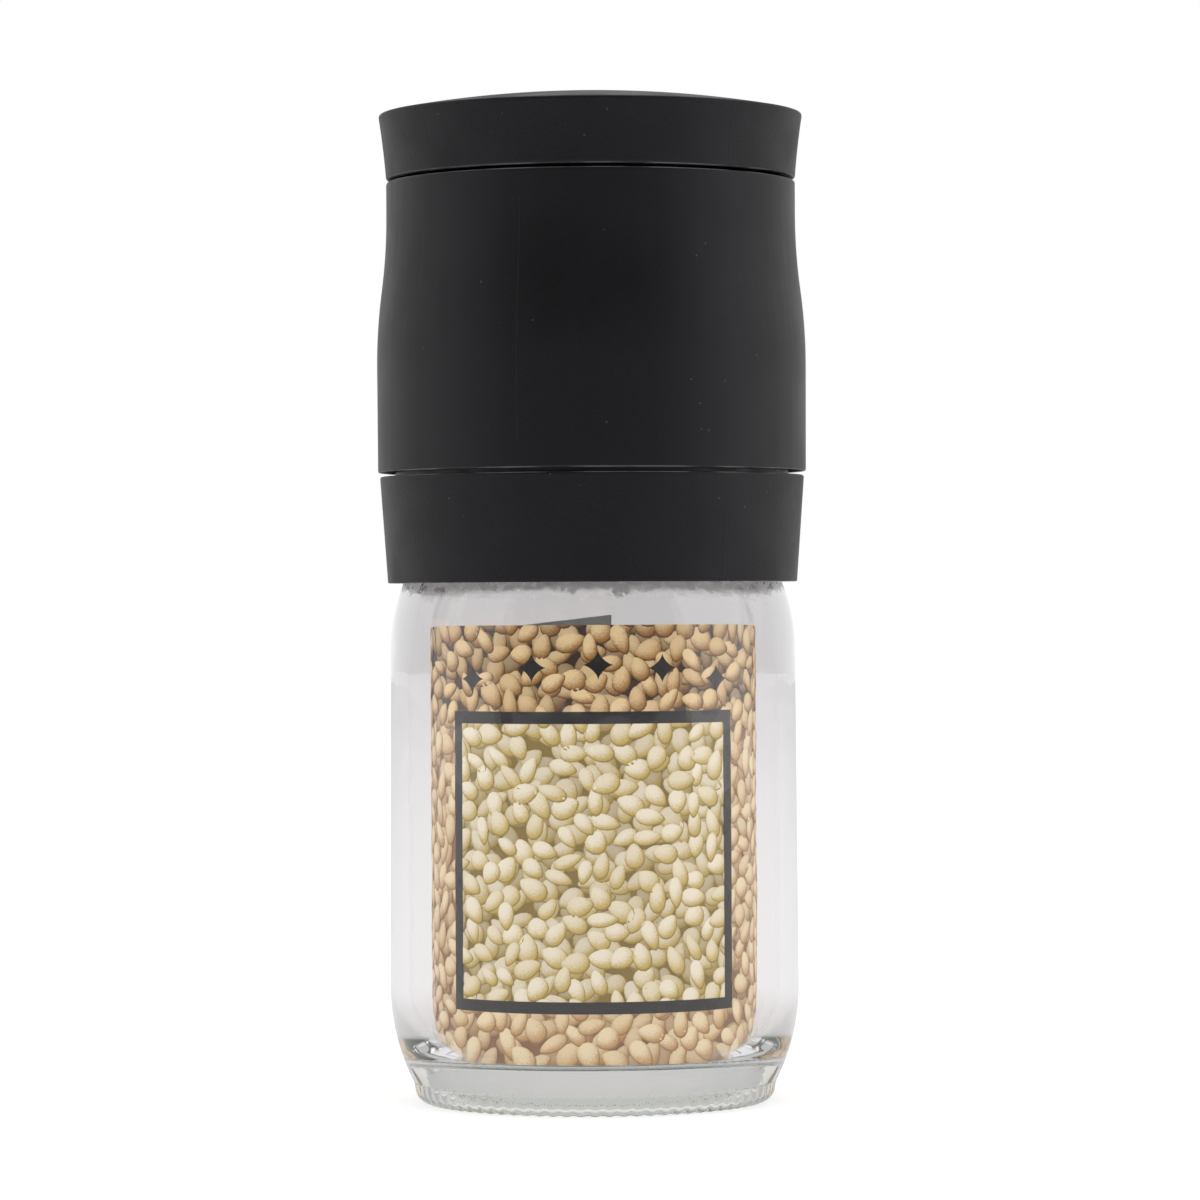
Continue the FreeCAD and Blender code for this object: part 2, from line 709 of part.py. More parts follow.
def burr_spring():
    """Compression spring on the bridge's hub that pushes the cone up against the knob."""
    body = new_body("burr_spring")
    wire = new_sketch(body, "XZ_Plane")
    first = bridge_hub_high + seat_gap + spring_wire / 2
    draw_circle(wire, spring_radius, first, spring_wire / 2)
    rise = spring_length - spring_wire - seat_gap * 2
    feature(
        body,
        "AdditiveHelix",
        wire,
        ReferenceAxis=(wire, ["V_Axis"]),
        Mode="pitch-turns-angle",
        Pitch=rise / spring_turns,
        Turns=spring_turns,
    )
    least_gap = (rise / spring_turns).value - spring_wire.value
    print(f"burr_spring: least gap between turns {least_gap:.2f} mm")
    return body


def spring_washer():
    """Steel washer between the spring and the cone."""
    return turned("spring_washer", ring_corners(washer_bore, spring_washer_radius, spring_high, cone_low))


def notch_corners(radius, deep, proud, half):
    """A tooth gap seen along the axis: a V with its point `deep` in the face and its mouth past it."""
    return [(radius - deep, 0), (radius + proud, -half), (radius + proud, half)]


def cut_teeth(body, count, low, high, skew):
    """Cuts slanting V grooves. low and high are (height, corners), and the upper end is skewed round."""
    lower = new_sketch(body, "XY_Plane", lift=low[0])
    draw_outline(lower, low[1])
    upper = new_sketch(body, "XY_Plane", lift=high[0], turn=skew)
    draw_outline(upper, high[1])
    groove = feature(body, "SubtractiveLoft", lower, Sections=[upper], Ruled=True)
    repeat(body, groove, count)


def inner_burr():
    """Ceramic cone: a few deep flutes that draw seeds in, then a flared crown of fine teeth."""
    bore = hub_radius + seat_gap
    body = turned(
        "inner_burr",
        [
            (bore, cone_low),
            (cone_low_radius, cone_low),
            (cone_knee_radius, cone_knee),
            (cone_high_radius, cone_flare_high),
            (cone_high_radius, cone_high),
            (cone_recess_radius, cone_high),
            (cone_recess_radius, recess_floor),
            (bore, recess_floor),
        ],
    )
    half = coarse_tooth_width / 2
    cut_teeth(
        body,
        coarse_teeth,
        (cone_low, notch_corners(cone_low_radius, coarse_tooth_depth / 2, 1, half * 1.5)),
        (cone_knee + 0.8, notch_corners(cone_knee_radius, coarse_tooth_depth, 1, half * 1.5)),
        coarse_tooth_skew,
    )
    half = fine_tooth_width / 2
    top_radius = cone_knee_radius + cone_flare_slope * (cone_high - cone_knee)
    cut_teeth(
        body,
        fine_teeth,
        (cone_knee, notch_corners(cone_knee_radius, fine_tooth_depth, 0.6, half * 1.6)),
        (cone_high, notch_corners(top_radius, fine_tooth_depth, 0.6, half * 2)),
        fine_tooth_skew,
    )
    return body


def burr_hub():
    """Moulded hub pressed into the cone. Its square bore slides on the shaft but can't turn on it."""
    body = turned(
        "burr_hub",
        [
            (0, cone_low),
            (hub_radius, cone_low),
            (hub_radius, recess_floor),
            (hub_flange_radius, recess_floor),
            (hub_flange_radius, hub_high),
            (0, hub_high),
        ],
    )
    square = new_sketch(body, "XY_Plane", lift=hub_high)
    draw_square(square, shaft_side / 2 + seat_gap * 2)
    feature(body, "Pocket", square, Length=hub_high - cone_low)
    return body


def adjuster_washer():
    """Steel washer between the hub and the knob."""
    return turned("adjuster_washer", ring_corners(washer_bore, adjuster_washer_radius, hub_high, knob_low))


def grind_adjuster():
    """Fluted knob on the shaft's thread. Screwed down, it lowers the cone and the mill grinds finer."""
    thread = shaft_thread_radius + seat_gap
    counterbore = knob_low + knob_counterbore_depth
    body = turned(
        "grind_adjuster",
        [
            (washer_bore, knob_low),
            (knob_radius - knob_edge, knob_low),
            (knob_radius - knob_edge, cone_high + slip_gap * 2),
            (knob_radius, cone_high + slip_gap * 2),
            (knob_radius, knob_high - knob_edge),
            (knob_radius - knob_edge, knob_high),
            (0, knob_high),
            (0, knob_high - knob_roof),
            (thread, knob_high - knob_roof),
            (thread, counterbore),
            (washer_bore, counterbore),
        ],
    )
    flute = new_sketch(body, "XY_Plane", lift=knob_high)
    draw_circle(flute, knob_radius + knob_flute_radius * 0.6, 0, knob_flute_radius)
    depth = knob_high - cone_high - slip_gap * 2
    repeat(body, feature(body, "Pocket", flute, Length=depth), knob_flutes)
    return body


def outer_burr():
    """Ceramic ring round the cone, with matching teeth the other way in its bore."""
    flare_top = burr_throat_radius + cone_flare_slope * (burr_ring_high - cone_knee)
    mouth = burr_throat_radius + burr_mouth_chamfer
    body = turned(
        "outer_burr",
        [
            (mouth, burr_ring_low),
            (burr_ring_radius, burr_ring_low),
            (burr_ring_radius, burr_ring_high),
            (flare_top, burr_ring_high),
            (burr_throat_radius, cone_knee),
            (burr_throat_radius, burr_ring_low + burr_mouth_chamfer * 2),
        ],
    )
    half = fine_tooth_width / 2
    cut_teeth(
        body,
        fine_teeth,
        (cone_knee - 1, notch_corners(burr_throat_radius, -fine_tooth_depth, -0.6, half * 1.6)),
        (burr_ring_high, notch_corners(flare_top, -fine_tooth_depth, -0.6, half * 2)),
        -fine_tooth_skew,
    )
    half = coarse_tooth_width / 2
    cut_teeth(
        body,
        coarse_teeth,
        (burr_ring_low, notch_corners(mouth, -coarse_tooth_depth, -1, half * 1.5)),
        (cone_knee, notch_corners(burr_throat_radius, -coarse_tooth_depth / 2, -1, half)),
        -coarse_tooth_skew,
    )
    return body


def burr_clamp_ring():
    """Ring pressed in above the burr ring to hold it down, with three notches for a tool."""
    outer = holder_bore - seat_gap
    inner = outer - clamp_ring_width
    body = turned("burr_clamp_ring", ring_corners(inner, outer, burr_ring_high, clamp_ring_high))
    notch = new_sketch(body, "XY_Plane", lift=clamp_ring_high)
    half = clamp_ring_width * 0.7
    reach = inner + clamp_ring_width * 0.55
    draw_outline(notch, [(inner - 1, -half), (reach, -half), (reach, half), (inner - 1, half)])
    repeat(body, feature(body, "Pocket", notch, Length=clamp_ring_height / 2), screw_count)
    return body


def burr_holder():
    """Inner sleeve: funnel from the collar to the burrs, the burr ring's pocket, flange and outlet rim."""
    funnel_high = burr_ring_low - holder_lip_thickness
    funnel_low = spigot_high + holder_skirt_rise
    drop = (funnel_high - funnel_low) / (holder_skirt_bore - holder_lip_bore)
    shoulder = funnel_low + drop * (holder_skirt_radius - holder_tube_radius) + holder_funnel_wall
    throat_wall = holder_throat + (outlet_radius - holder_bore)
    body = turned(
        "burr_holder",
        [
            (holder_lip_bore, burr_ring_low),
            (holder_bore, burr_ring_low),
            (holder_bore, holder_throat),
            (outlet_radius, throat_wall),
            (outlet_radius, holder_rim_high),
            (outlet_radius + outlet_wall, holder_rim_high),
            (outlet_radius + outlet_wall, holder_flange_high),
            (grip_bore - loose_gap, holder_flange_high),
            (grip_bore - loose_gap, ledge_high),
            (holder_tube_radius, ledge_high),
            (holder_tube_radius, shoulder),
            (holder_skirt_radius, funnel_low + holder_funnel_wall / 2),
            (holder_skirt_radius, spigot_high - holder_skirt_dip),
            (holder_skirt_bore, spigot_high - holder_skirt_dip),
            (holder_skirt_bore, funnel_low),
            (holder_lip_bore, funnel_high),
        ],
    )
    hole = screw_radius + screw_clearance
    cut_hole(body, hole, holder_screw_circle, holder_flange_high, holder_flange_thickness, screw_count)
    rim = [(outlet_radius + outlet_wall, holder_rim_high), (outlet_radius, holder_rim_high)]
    soften(body, "Fillet", edge_break, rim)
    return body


def grip_body():
    """Outer sleeve that the hand cranks: barrel outside; web, ribs, ledge and screw bosses inside."""
    swell = tangent_radius((grip_waist - grip_belly) / 2, grip_waist_inset / 2)
    middle = (grip_belly + grip_waist) / 2
    middle_radius = (grip_belly_radius + grip_waist_radius) / 2
    web_bore = spigot_radius + loose_gap
    wall = grip_wall
    ledge_bore = grip_bore - ledge_width
    body = turned(
        "grip_body",
        [
            (grip_low_radius - wall, grip_low),
            (grip_low_radius, grip_low),
            (grip_belly_radius, grip_belly, left(swell)),
            (middle_radius, middle, right(swell)),
            (grip_waist_radius, grip_waist),
            (grip_waist_radius, grip_high),
            (grip_bore, grip_high),
            (grip_bore, ledge_high),
            (ledge_bore, ledge_high),
            (ledge_bore, ledge_low),
            (grip_bore, ledge_low),
            (middle_radius - wall, middle),
            (grip_belly_radius - wall, grip_belly),
            (grip_belly_radius - wall, web_high),
            (web_bore, web_high),
            (web_bore, web_low),
            (grip_low_radius - wall, web_low),
        ],
    )
    boss = new_sketch(body, "XY_Plane", lift=ledge_low - boss_length)
    draw_circle(boss, holder_screw_circle, 0, boss_radius)
    repeat(body, feature(body, "Pad", boss, Length=boss_length + ledge_thickness / 2), screw_count)
    rib = new_sketch(body, "XY_Plane", lift=snap_ring_high + spigot_land, turn=15)
    half = grip_rib_width / 2
    rib_inner = grip_bore - grip_rib_depth
    rib_outer = grip_waist_radius - slip_gap
    draw_outline(rib, [(rib_inner, -half), (rib_outer, -half), (rib_outer, half), (rib_inner, half)])
    rib_height = ledge_low - snap_ring_high - spigot_land + ledge_thickness / 2
    repeat(body, feature(body, "Pad", rib, Length=rib_height), grip_ribs)
    pilot = screw_radius + seat_gap
    pilot_depth = holder_screw_length - holder_flange_thickness + slip_gap
    cut_hole(body, pilot, holder_screw_circle, ledge_high, pilot_depth, screw_count)
    soften(body, "Fillet", edge_break, [(grip_low_radius, grip_low), (grip_waist_radius, grip_high)])
    return body


def cap():
    """Push-on cap: flared side, shallow dome, a plug that grips the outlet and ribs that rest on its rim."""
    inner_roof = cap_rim - cap_wall / 2
    plug_bore = cap_plug_radius - cap_plug_wall
    plug_low = cap_low - cap_plug_reach
    roof_high = cap_high - cap_wall
    roof_radius = dome_radius(cap_rim_radius, cap_dome)
    body = turned(
        "cap",
        [
            (cap_bore, cap_low),
            (grip_waist_radius, cap_low, right(cap_hollow)),
            (cap_rim_radius, cap_rim, left(roof_radius)),
            (0, cap_high),
            (0, roof_high),
            (plug_bore, inner_roof),
            (plug_bore, plug_low),
            (cap_plug_radius, plug_low),
            (cap_plug_radius, inner_roof),
            (cap_bore, inner_roof),
        ],
    )
    rib = new_sketch(body, "XY_Plane", lift=cap_low, turn=30)
    half = cap_rib_width / 2
    start = cap_plug_radius - cap_plug_wall / 2
    end = cap_bore + cap_wall / 2
    draw_outline(rib, [(start, -half), (end, -half), (end, half), (start, half)])
    repeat(body, feature(body, "Pad", rib, Length=inner_roof - cap_low + seat_gap), cap_ribs)
    soften(body, "Fillet", edge_break, [(cap_rim_radius, cap_rim), (grip_waist_radius, cap_low)])
    return body


def bridge_screws():
    return screw_set("bridge_screws", bridge_screw_circle, bridge_ring_high, bridge_screw_length)


def holder_screws():
    return screw_set("holder_screws", holder_screw_circle, holder_flange_high, holder_screw_length)


MAKERS = (
    glass_jar, printed_card, jar_gasket, jar_collar, slip_ring, snap_ring, shaft_bridge, bridge_screws,
    centre_shaft, burr_spring, spring_washer, inner_burr, burr_hub, adjuster_washer, grind_adjuster,
    outer_burr, burr_clamp_ring, burr_holder, holder_screws, grip_body, cap,
)

doc.recompute()
pieces = [make() for make in MAKERS]
doc.recompute()

for item in doc.Objects:
    if "Invalid" in item.State or "Error" in item.State:
        raise RuntimeError(f"{item.Label} failed: {item.State}")
for piece in pieces:
    if piece.Shape.isNull() or not piece.Shape.isValid() or not piece.Shape.Solids:
        raise RuntimeError(f"{piece.Label} has no valid solid")

os.makedirs("parts", exist_ok=True)
for piece in pieces:
    piece.Shape.exportStep(f"parts/{piece.Label}.step")
    print(f"{piece.Label}: {len(piece.Shape.Solids)} solid, {piece.Shape.Volume:.1f} mm3")
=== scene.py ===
"""Hand-cranked sesame mill standing on its glass jar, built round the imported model.

Lengths are written in millimetres and turned to metres as each mesh is made. +Z is up, -Y is the front.
"""
import math

import bmesh
import bpy
import numpy as np
from mathutils import Matrix, Vector


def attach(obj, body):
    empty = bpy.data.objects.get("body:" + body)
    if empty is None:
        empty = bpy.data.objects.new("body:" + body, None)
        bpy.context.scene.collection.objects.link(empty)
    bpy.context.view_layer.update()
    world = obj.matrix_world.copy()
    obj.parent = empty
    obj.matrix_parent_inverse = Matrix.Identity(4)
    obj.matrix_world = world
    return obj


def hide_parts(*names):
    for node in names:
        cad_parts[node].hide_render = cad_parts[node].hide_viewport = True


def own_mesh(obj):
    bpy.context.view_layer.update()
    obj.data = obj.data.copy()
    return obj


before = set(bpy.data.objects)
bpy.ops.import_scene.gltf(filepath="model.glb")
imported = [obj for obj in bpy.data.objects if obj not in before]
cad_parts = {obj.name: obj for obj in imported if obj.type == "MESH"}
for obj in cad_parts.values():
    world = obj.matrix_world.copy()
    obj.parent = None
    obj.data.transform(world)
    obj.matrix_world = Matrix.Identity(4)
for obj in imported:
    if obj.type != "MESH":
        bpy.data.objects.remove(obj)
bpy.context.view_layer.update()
scene = bpy.context.scene
scene.view_settings.view_transform = "Standard"
MM = 0.001

# Camera: level, on a long lens 750 mm in front of the mill's axis, with its eye at the jar's shoulder. It is
# rolled a little, because the mill leans by a third of a degree in the picture.
eye_height = 73.6
eye_distance = 750.0
eye_right = 1.07
eye_roll = -0.31
camera_data = bpy.data.cameras.new("camera")
camera_data.sensor_width = 36.0
camera_data.lens = 153.0
camera_data.clip_end = 50.0
camera = bpy.data.objects.new("camera", camera_data)
scene.collection.objects.link(camera)
eye = Matrix.Translation(Vector((eye_right, -eye_distance, eye_height)) * MM)
rolled = Matrix.Rotation(math.radians(eye_roll), 4, "Z")
camera.matrix_world = eye @ Matrix.Rotation(math.pi / 2, 4, "X") @ rolled
scene.camera = camera


# Studio: a pale floor that keeps the mill's shadow, three soft lamps, and a surround that is white to the
# camera. What the mill mirrors of it is dim in front and bright behind, and what shows through the glass is
# a plain grey, which draws the glass's edges.
class Nodes:
    """Adds nodes to a tree. Each input is a value or a socket to link, in order or by name."""

    def __init__(self, tree):
        self.tree = tree
        tree.nodes.clear()

    def add(self, kind, *inputs, settings=None, **named):
        node = self.tree.nodes.new(kind)
        for key, value in (settings or {}).items():
            setattr(node, key, value)
        for socket, value in zip(node.inputs, inputs):
            self.feed(socket, value)
        for key, value in named.items():
            self.feed(node.inputs[key.replace("_", " ")], value)
        return node

    def feed(self, socket, value):
        if isinstance(value, bpy.types.NodeSocket):
            self.tree.links.new(value, socket)
        elif value is not None:
            socket.default_value = value

    def math(self, operation, *values):
        return self.add("ShaderNodeMath", *values, settings={"operation": operation}).outputs[0]

    def span(self, value, low, high, start=0.0, end=1.0):
        """Maps low..high smoothly to start..end, clamped."""
        settings = {"interpolation_type": "SMOOTHSTEP"}
        return self.add("ShaderNodeMapRange", value, low, high, start, end, settings=settings).outputs[0]

    def mix(self, share, first, second):
        """Mixes two colours."""
        node = self.add("ShaderNodeMix", settings={"data_type": "RGBA"})
        for socket, value in zip((node.inputs[0], node.inputs[6], node.inputs[7]), (share, first, second)):
            self.feed(socket, value)
        return node.outputs[2]


floor_half = 4000.0
floor_grey = 0.75
floor_glow = 0.36
floor_mesh = bpy.data.meshes.new("floor")
floor_corners = [Vector((x, y, 0)) * floor_half * MM for x, y in ((-1, -1), (1, -1), (1, 1), (-1, 1))]
floor_mesh.from_pydata(floor_corners, [], [(0, 1, 2, 3)])
floor = bpy.data.objects.new("floor", floor_mesh)
scene.collection.objects.link(floor)
floor_paint = bpy.data.materials.new("pale_floor")
floor_paint.use_nodes = True
nodes = Nodes(floor_paint.node_tree)
matt = nodes.add("ShaderNodeBsdfDiffuse", (floor_grey, floor_grey, floor_grey, 1))
to_camera = nodes.add("ShaderNodeLightPath").outputs["Is Camera Ray"]
lit = nodes.add("ShaderNodeEmission", (1, 1, 1, 1), nodes.math("MULTIPLY", to_camera, floor_glow))
both = nodes.add("ShaderNodeAddShader", matt.outputs[0], lit.outputs[0])
nodes.add("ShaderNodeOutputMaterial", both.outputs[0])
floor_mesh.materials.append(floor_paint)

front_glow = 0.12
back_glow = 0.95
right_glow = 0.17
past_camera_glow = 0.3
through_glow = 0.56
straight_glow = 0.05
fill_glow = 0.95
world = bpy.data.worlds.new("surround")
world.use_nodes = True
world.cycles.sampling_method = "NONE"
scene.world = world
nodes = Nodes(world.node_tree)
rays = nodes.add("ShaderNodeLightPath").outputs
direction = nodes.add("ShaderNodeSeparateXYZ", nodes.add("ShaderNodeTexCoord").outputs["Generated"]).outputs
from_behind = nodes.span(direction[1], -0.3, 0.7, front_glow, back_glow)
from_right = nodes.span(direction[0], 0.2, 0.9, 0.0, right_glow)
mirrored = nodes.math("MINIMUM", nodes.math("ADD", from_behind, from_right), back_glow)
past_camera = nodes.span(direction[1], -1.0, -0.93, past_camera_glow, through_glow)
through = nodes.math("ADD", past_camera, nodes.span(direction[1], 0.5, 0.98, 0.0, straight_glow))
seen = nodes.add("ShaderNodeMix", rays["Is Transmission Ray"], None, mirrored, through).outputs[0]
fill = nodes.math("MULTIPLY", rays["Is Diffuse Ray"], fill_glow)
strength = nodes.math("MAXIMUM", nodes.math("MAXIMUM", seen, fill), rays["Is Camera Ray"])
sky = nodes.add("ShaderNodeBackground", (1, 1, 1, 1), strength)
nodes.add("ShaderNodeOutputWorld", sky.outputs[0])


lamp_side = 1400.0
mill_middle = 80.0


def soft_lamp(name, place, watts):
    """A square lamp that faces the middle of the mill."""
    data = bpy.data.lights.new(name, "AREA")
    data.shape = "RECTANGLE"
    data.size = lamp_side * MM
    data.size_y = lamp_side * MM
    data.energy = watts
    lamp = bpy.data.objects.new(name, data)
    scene.collection.objects.link(lamp)
    toward = Vector((0, 0, mill_middle)) - Vector(place)
    facing = toward.to_track_quat("-Z", "Y").to_matrix().to_4x4()
    lamp.matrix_world = Matrix.Translation(Vector(place) * MM) @ facing


soft_lamp("lamp_left", (-1500, -300, 600), 4.0)
soft_lamp("lamp_right", (1500, -300, 600), 5.0)
soft_lamp("lamp_top", (0, -200, 1600), 5.0)


# Glass jar: pressed and blown clear soda glass with a thick foot. Its foot ring is knurled so that it doesn't
# skid while hot, and its neck has a thread of one and a half turns for the head.
def arc_points(start, end, bend, step, widest_turn=0.12):
    """Points strictly between start and end on an arc of radius bend, which turns left if it is positive."""
    chord = end - start
    length = np.linalg.norm(chord)
    reach = math.sqrt(max(bend * bend - length * length / 4, 0.0))
    across = np.array([-chord[1], chord[0]]) / length * math.copysign(reach, bend)
    centre = (start + end) / 2 + across
    first = math.atan2(*(start - centre)[::-1])
    sweep = 2 * math.asin(min(length / 2 / abs(bend), 1.0)) * math.copysign(1, bend)
    count = max(int(abs(sweep * bend) / step), int(abs(sweep) / widest_turn), 2)
    angles = [first + sweep * i / count for i in range(1, count)]
    return [centre + abs(bend) * np.array([math.cos(a), math.sin(a)]) for a in angles]


guard = 1.5


def soften_corner(path, lengths, index, reach):
    """Points of a small round in place of a corner, with a point past each end that keeps the flats flat."""
    def at(distance):
        return np.array([np.interp(distance, lengths, path[:, k]) for k in (0, 1)])

    here = lengths[index]
    before, after = at(here - reach), at(here + reach)
    shares = (0, 0.25, 0.5, 0.75, 1)
    turn = [(1 - t) ** 2 * before + 2 * t * (1 - t) * path[index] + t * t * after for t in shares]
    return [at(here - reach * guard), *turn, at(here + reach * guard)]


def trace(outline, soft, step, least_turn=0.25):
    """Points along an outline of corners: radius, height and, where given, bend to the next and softness."""
    corners = [(*c, *(0, soft)[len(c) - 2:]) for c in outline]
    closed = corners[0][0] > 0
    if closed:
        middle = [(corners[0][k] + corners[1][k]) / 2 for k in (0, 1)]
        corners = [(*middle, 0, 0), *corners[1:], corners[0], (*middle, 0, 0)]
    path, places = [], []
    for here, following in zip(corners, corners[1:] + [None]):
        places.append(len(path))
        path.append(np.array(here[:2], float))
        if following and here[2]:
            path += arc_points(path[-1], np.array(following[:2], float), here[2], step)
    path = np.array(path)
    lengths = np.concatenate([[0], np.cumsum(np.linalg.norm(np.diff(path, axis=0), axis=1))])
    kept = [path[0]]
    reached = 0.0
    for i in range(1, len(path) - 1):
        into, out = path[i] - path[i - 1], path[i + 1] - path[i]
        turn = abs(math.atan2(into[0] * out[1] - into[1] * out[0], into @ out))
        if i in places and turn > least_turn:
            order = places.index(i)
            room = min(lengths[i] - lengths[places[order - 1]], lengths[places[order + 1]] - lengths[i])
            reach = min(corners[order][3], room * 0.3)
            while len(kept) > 1 and reached > lengths[i] - reach * (guard + 0.1):
                kept.pop()
                reached -= 0.001 if len(kept) == 1 else np.linalg.norm(kept[-1] - kept[-2])
            kept += soften_corner(path, lengths, i, reach)
            reached = lengths[i] + reach * guard
        elif lengths[i] > reached + 1e-6:
            kept.append(path[i])
            reached = lengths[i]
    return kept if closed else [*kept, path[-1]]


def split_long(points, step, closed):
    """Adds points so that no two are further apart than the step."""
    result = []
    following = points[1:] + (points[:1] if closed else [])
    for here, there in zip(points, following):
        parts = max(math.ceil(np.linalg.norm(there - here) / step), 1)
        result += [here + (there - here) * i / parts for i in range(parts)]
    return result if closed else [*result, points[-1]]


def shade(mesh, sharp_from=32.0):
    mesh.shade_smooth()
    mesh.set_sharp_from_angle(angle=math.radians(sharp_from))


def new_piece(name, vertices, faces, material):
    """A smooth mesh object at the origin, from vertices in millimetres."""
    mesh = bpy.data.meshes.new(name)
    mesh.from_pydata([tuple(v) for v in np.array(vertices) * MM], [], faces)
    mesh.materials.append(material)
    shade(mesh)
    piece = bpy.data.objects.new(name, mesh)
    scene.collection.objects.link(piece)
    return piece


def turned(name, outline, material, around=160, soft=0.25, arc_step=1.2, step=60.0):
    """A piece turned round the mill's axis. The outline runs anticlockwise, from axis to axis or closed."""
    closed = outline[0][0] > 0
    points = split_long(trace(outline, soft, arc_step), step, closed)
    vertices, rings = [], []
    for radius, height in points:
        if radius < 1e-6:
            rings.append([len(vertices)] * around)
            vertices.append((0, 0, height))
            continue
        rings.append([len(vertices) + k for k in range(around)])
        turns = np.arange(around) * 2 * math.pi / around
        vertices += [(radius * math.cos(a), radius * math.sin(a), height) for a in turns]
    faces = []
    for lower, upper in zip(rings, rings[1:] + (rings[:1] if closed else [])):
        for k in range(around):
            n = (k + 1) % around
            loop = dict.fromkeys((lower[k], lower[n], upper[n], upper[k]))
            faces.append(tuple(loop))
    return new_piece(name, vertices, faces, material)


def shape_tree(name, sizes):
    """An empty Geometry Nodes tree with a mesh in and out, a number for each size and a material."""
    tree = bpy.data.node_groups.new(name, "GeometryNodeTree")
    tree.is_modifier = True
    tree.interface.new_socket("Mesh", in_out="INPUT", socket_type="NodeSocketGeometry")
    for size in sizes:
        tree.interface.new_socket(size, in_out="INPUT", socket_type="NodeSocketFloat")
    tree.interface.new_socket("Material", in_out="INPUT", socket_type="NodeSocketMaterial")
    tree.interface.new_socket("Mesh", in_out="OUTPUT", socket_type="NodeSocketGeometry")
    nodes = Nodes(tree)
    given = nodes.add("NodeGroupInput").outputs
    return tree, nodes, given


def finish_tree(nodes, given, mesh):
    real = nodes.add("GeometryNodeRealizeInstances", mesh)
    painted = nodes.add("GeometryNodeSetMaterial", Geometry=real.outputs[0], Material=given["Material"])
    nodes.add("NodeGroupOutput", painted.outputs[0])


def apply_tree(piece, tree, **sizes):
    """Runs a tree on a piece and keeps the result as its plain mesh. Sizes are in millimetres or turns."""
    modifier = piece.modifiers.new(tree.name, "NODES")
    modifier.node_group = tree
    values = {**sizes, "Material": piece.data.materials[0]}
    for item in tree.interface.items_tree:
        if item.in_out == "INPUT" and item.name in values:
            modifier[item.identifier] = values[item.name]
    evaluated = piece.evaluated_get(bpy.context.evaluated_depsgraph_get())
    shaped = bpy.data.meshes.new_from_object(evaluated)
    piece.modifiers.remove(modifier)
    piece.data = shaped
    shaped.name = piece.name
    shade(shaped)


def polar(nodes):
    """Radius and height in millimetres, and angle in turns, of each point of the mesh."""
    place = nodes.add("ShaderNodeSeparateXYZ", nodes.add("GeometryNodeInputPosition").outputs[0]).outputs
    squares = nodes.math("ADD", nodes.math("POWER", place[0], 2.0), nodes.math("POWER", place[1], 2.0))
    radius = nodes.math("DIVIDE", nodes.math("SQRT", squares), MM)
    turn = nodes.math("DIVIDE", nodes.math("ARCTAN2", place[1], place[0]), 2 * math.pi)
    return radius, turn, nodes.math("DIVIDE", place[2], MM)


def from_polar(nodes, radius, turn, height):
    """The place in metres of a radius and height in millimetres at an angle in turns."""
    angle = nodes.math("MULTIPLY", turn, 2 * math.pi)
    metres = nodes.math("MULTIPLY", radius, MM)
    x = nodes.math("MULTIPLY", metres, nodes.math("COSINE", angle))
    y = nodes.math("MULTIPLY", metres, nodes.math("SINE", angle))
    return nodes.add("ShaderNodeCombineXYZ", x, y, nodes.math("MULTIPLY", height, MM)).outputs[0]


def between(nodes, value, low, high):
    """1 between low and high, and 0 elsewhere."""
    above = nodes.math("GREATER_THAN", value, low)
    return nodes.math("MULTIPLY", above, nodes.math("LESS_THAN", value, high))


# The flutes tree presses evenly spaced grooves into a turned face: inwards by depth and upwards by rise.
flute_sizes = ("count", "depth", "rise", "low", "high", "fade", "inner", "outer")
flutes, nodes, given = shape_tree("flutes", flute_sizes)
radius, turn, height = polar(nodes)
wave = nodes.math("COSINE", nodes.math("MULTIPLY", nodes.math("MULTIPLY", turn, given["count"]), 2 * math.pi))
groove = nodes.math("SUBTRACT", 0.5, nodes.math("MULTIPLY", wave, 0.5))
from_low = nodes.span(nodes.math("SUBTRACT", height, given["low"]), 0.0, given["fade"])
from_high = nodes.span(nodes.math("SUBTRACT", given["high"], height), 0.0, given["fade"])
share = nodes.math("MULTIPLY", groove, nodes.math("MULTIPLY", from_low, from_high))
share = nodes.math("MULTIPLY", share, between(nodes, radius, given["inner"], given["outer"]))
new_radius = nodes.math("SUBTRACT", radius, nodes.math("MULTIPLY", share, given["depth"]))
new_height = nodes.math("ADD", height, nodes.math("MULTIPLY", share, given["rise"]))
place = from_polar(nodes, new_radius, turn, new_height)
moved = nodes.add("GeometryNodeSetPosition", Geometry=given["Mesh"], Position=place)
finish_tree(nodes, given, moved.outputs[0])

# The thread tree raises a helical ridge on a turned wall, or presses it inwards with a negative height. The
# ridge fades out over part of a turn at each end.
run_out = 0.12
thread_sizes = ("start", "pitch", "turns", "height", "width", "flank", "inner", "outer")
thread, nodes, given = shape_tree("thread", thread_sizes)
radius, turn, height = polar(nodes)
turn_up = nodes.math("FRACT", nodes.math("ADD", turn, 1.0))
climbed = nodes.math("DIVIDE", nodes.math("SUBTRACT", height, given["start"]), given["pitch"])
whole = nodes.math("ROUND", nodes.math("SUBTRACT", climbed, turn_up))
along = nodes.math("ADD", whole, turn_up)
off = nodes.math("ABSOLUTE", nodes.math("MULTIPLY", nodes.math("SUBTRACT", climbed, along), given["pitch"]))
inside = nodes.math("SUBTRACT", nodes.math("MULTIPLY", given["width"], 0.5), off)
ridge = nodes.span(inside, 0.0, given["flank"])
begins = nodes.span(along, 0.0, run_out)
ends = nodes.span(nodes.math("SUBTRACT", given["turns"], along), 0.0, run_out)
share = nodes.math("MULTIPLY", ridge, nodes.math("MULTIPLY", begins, ends))
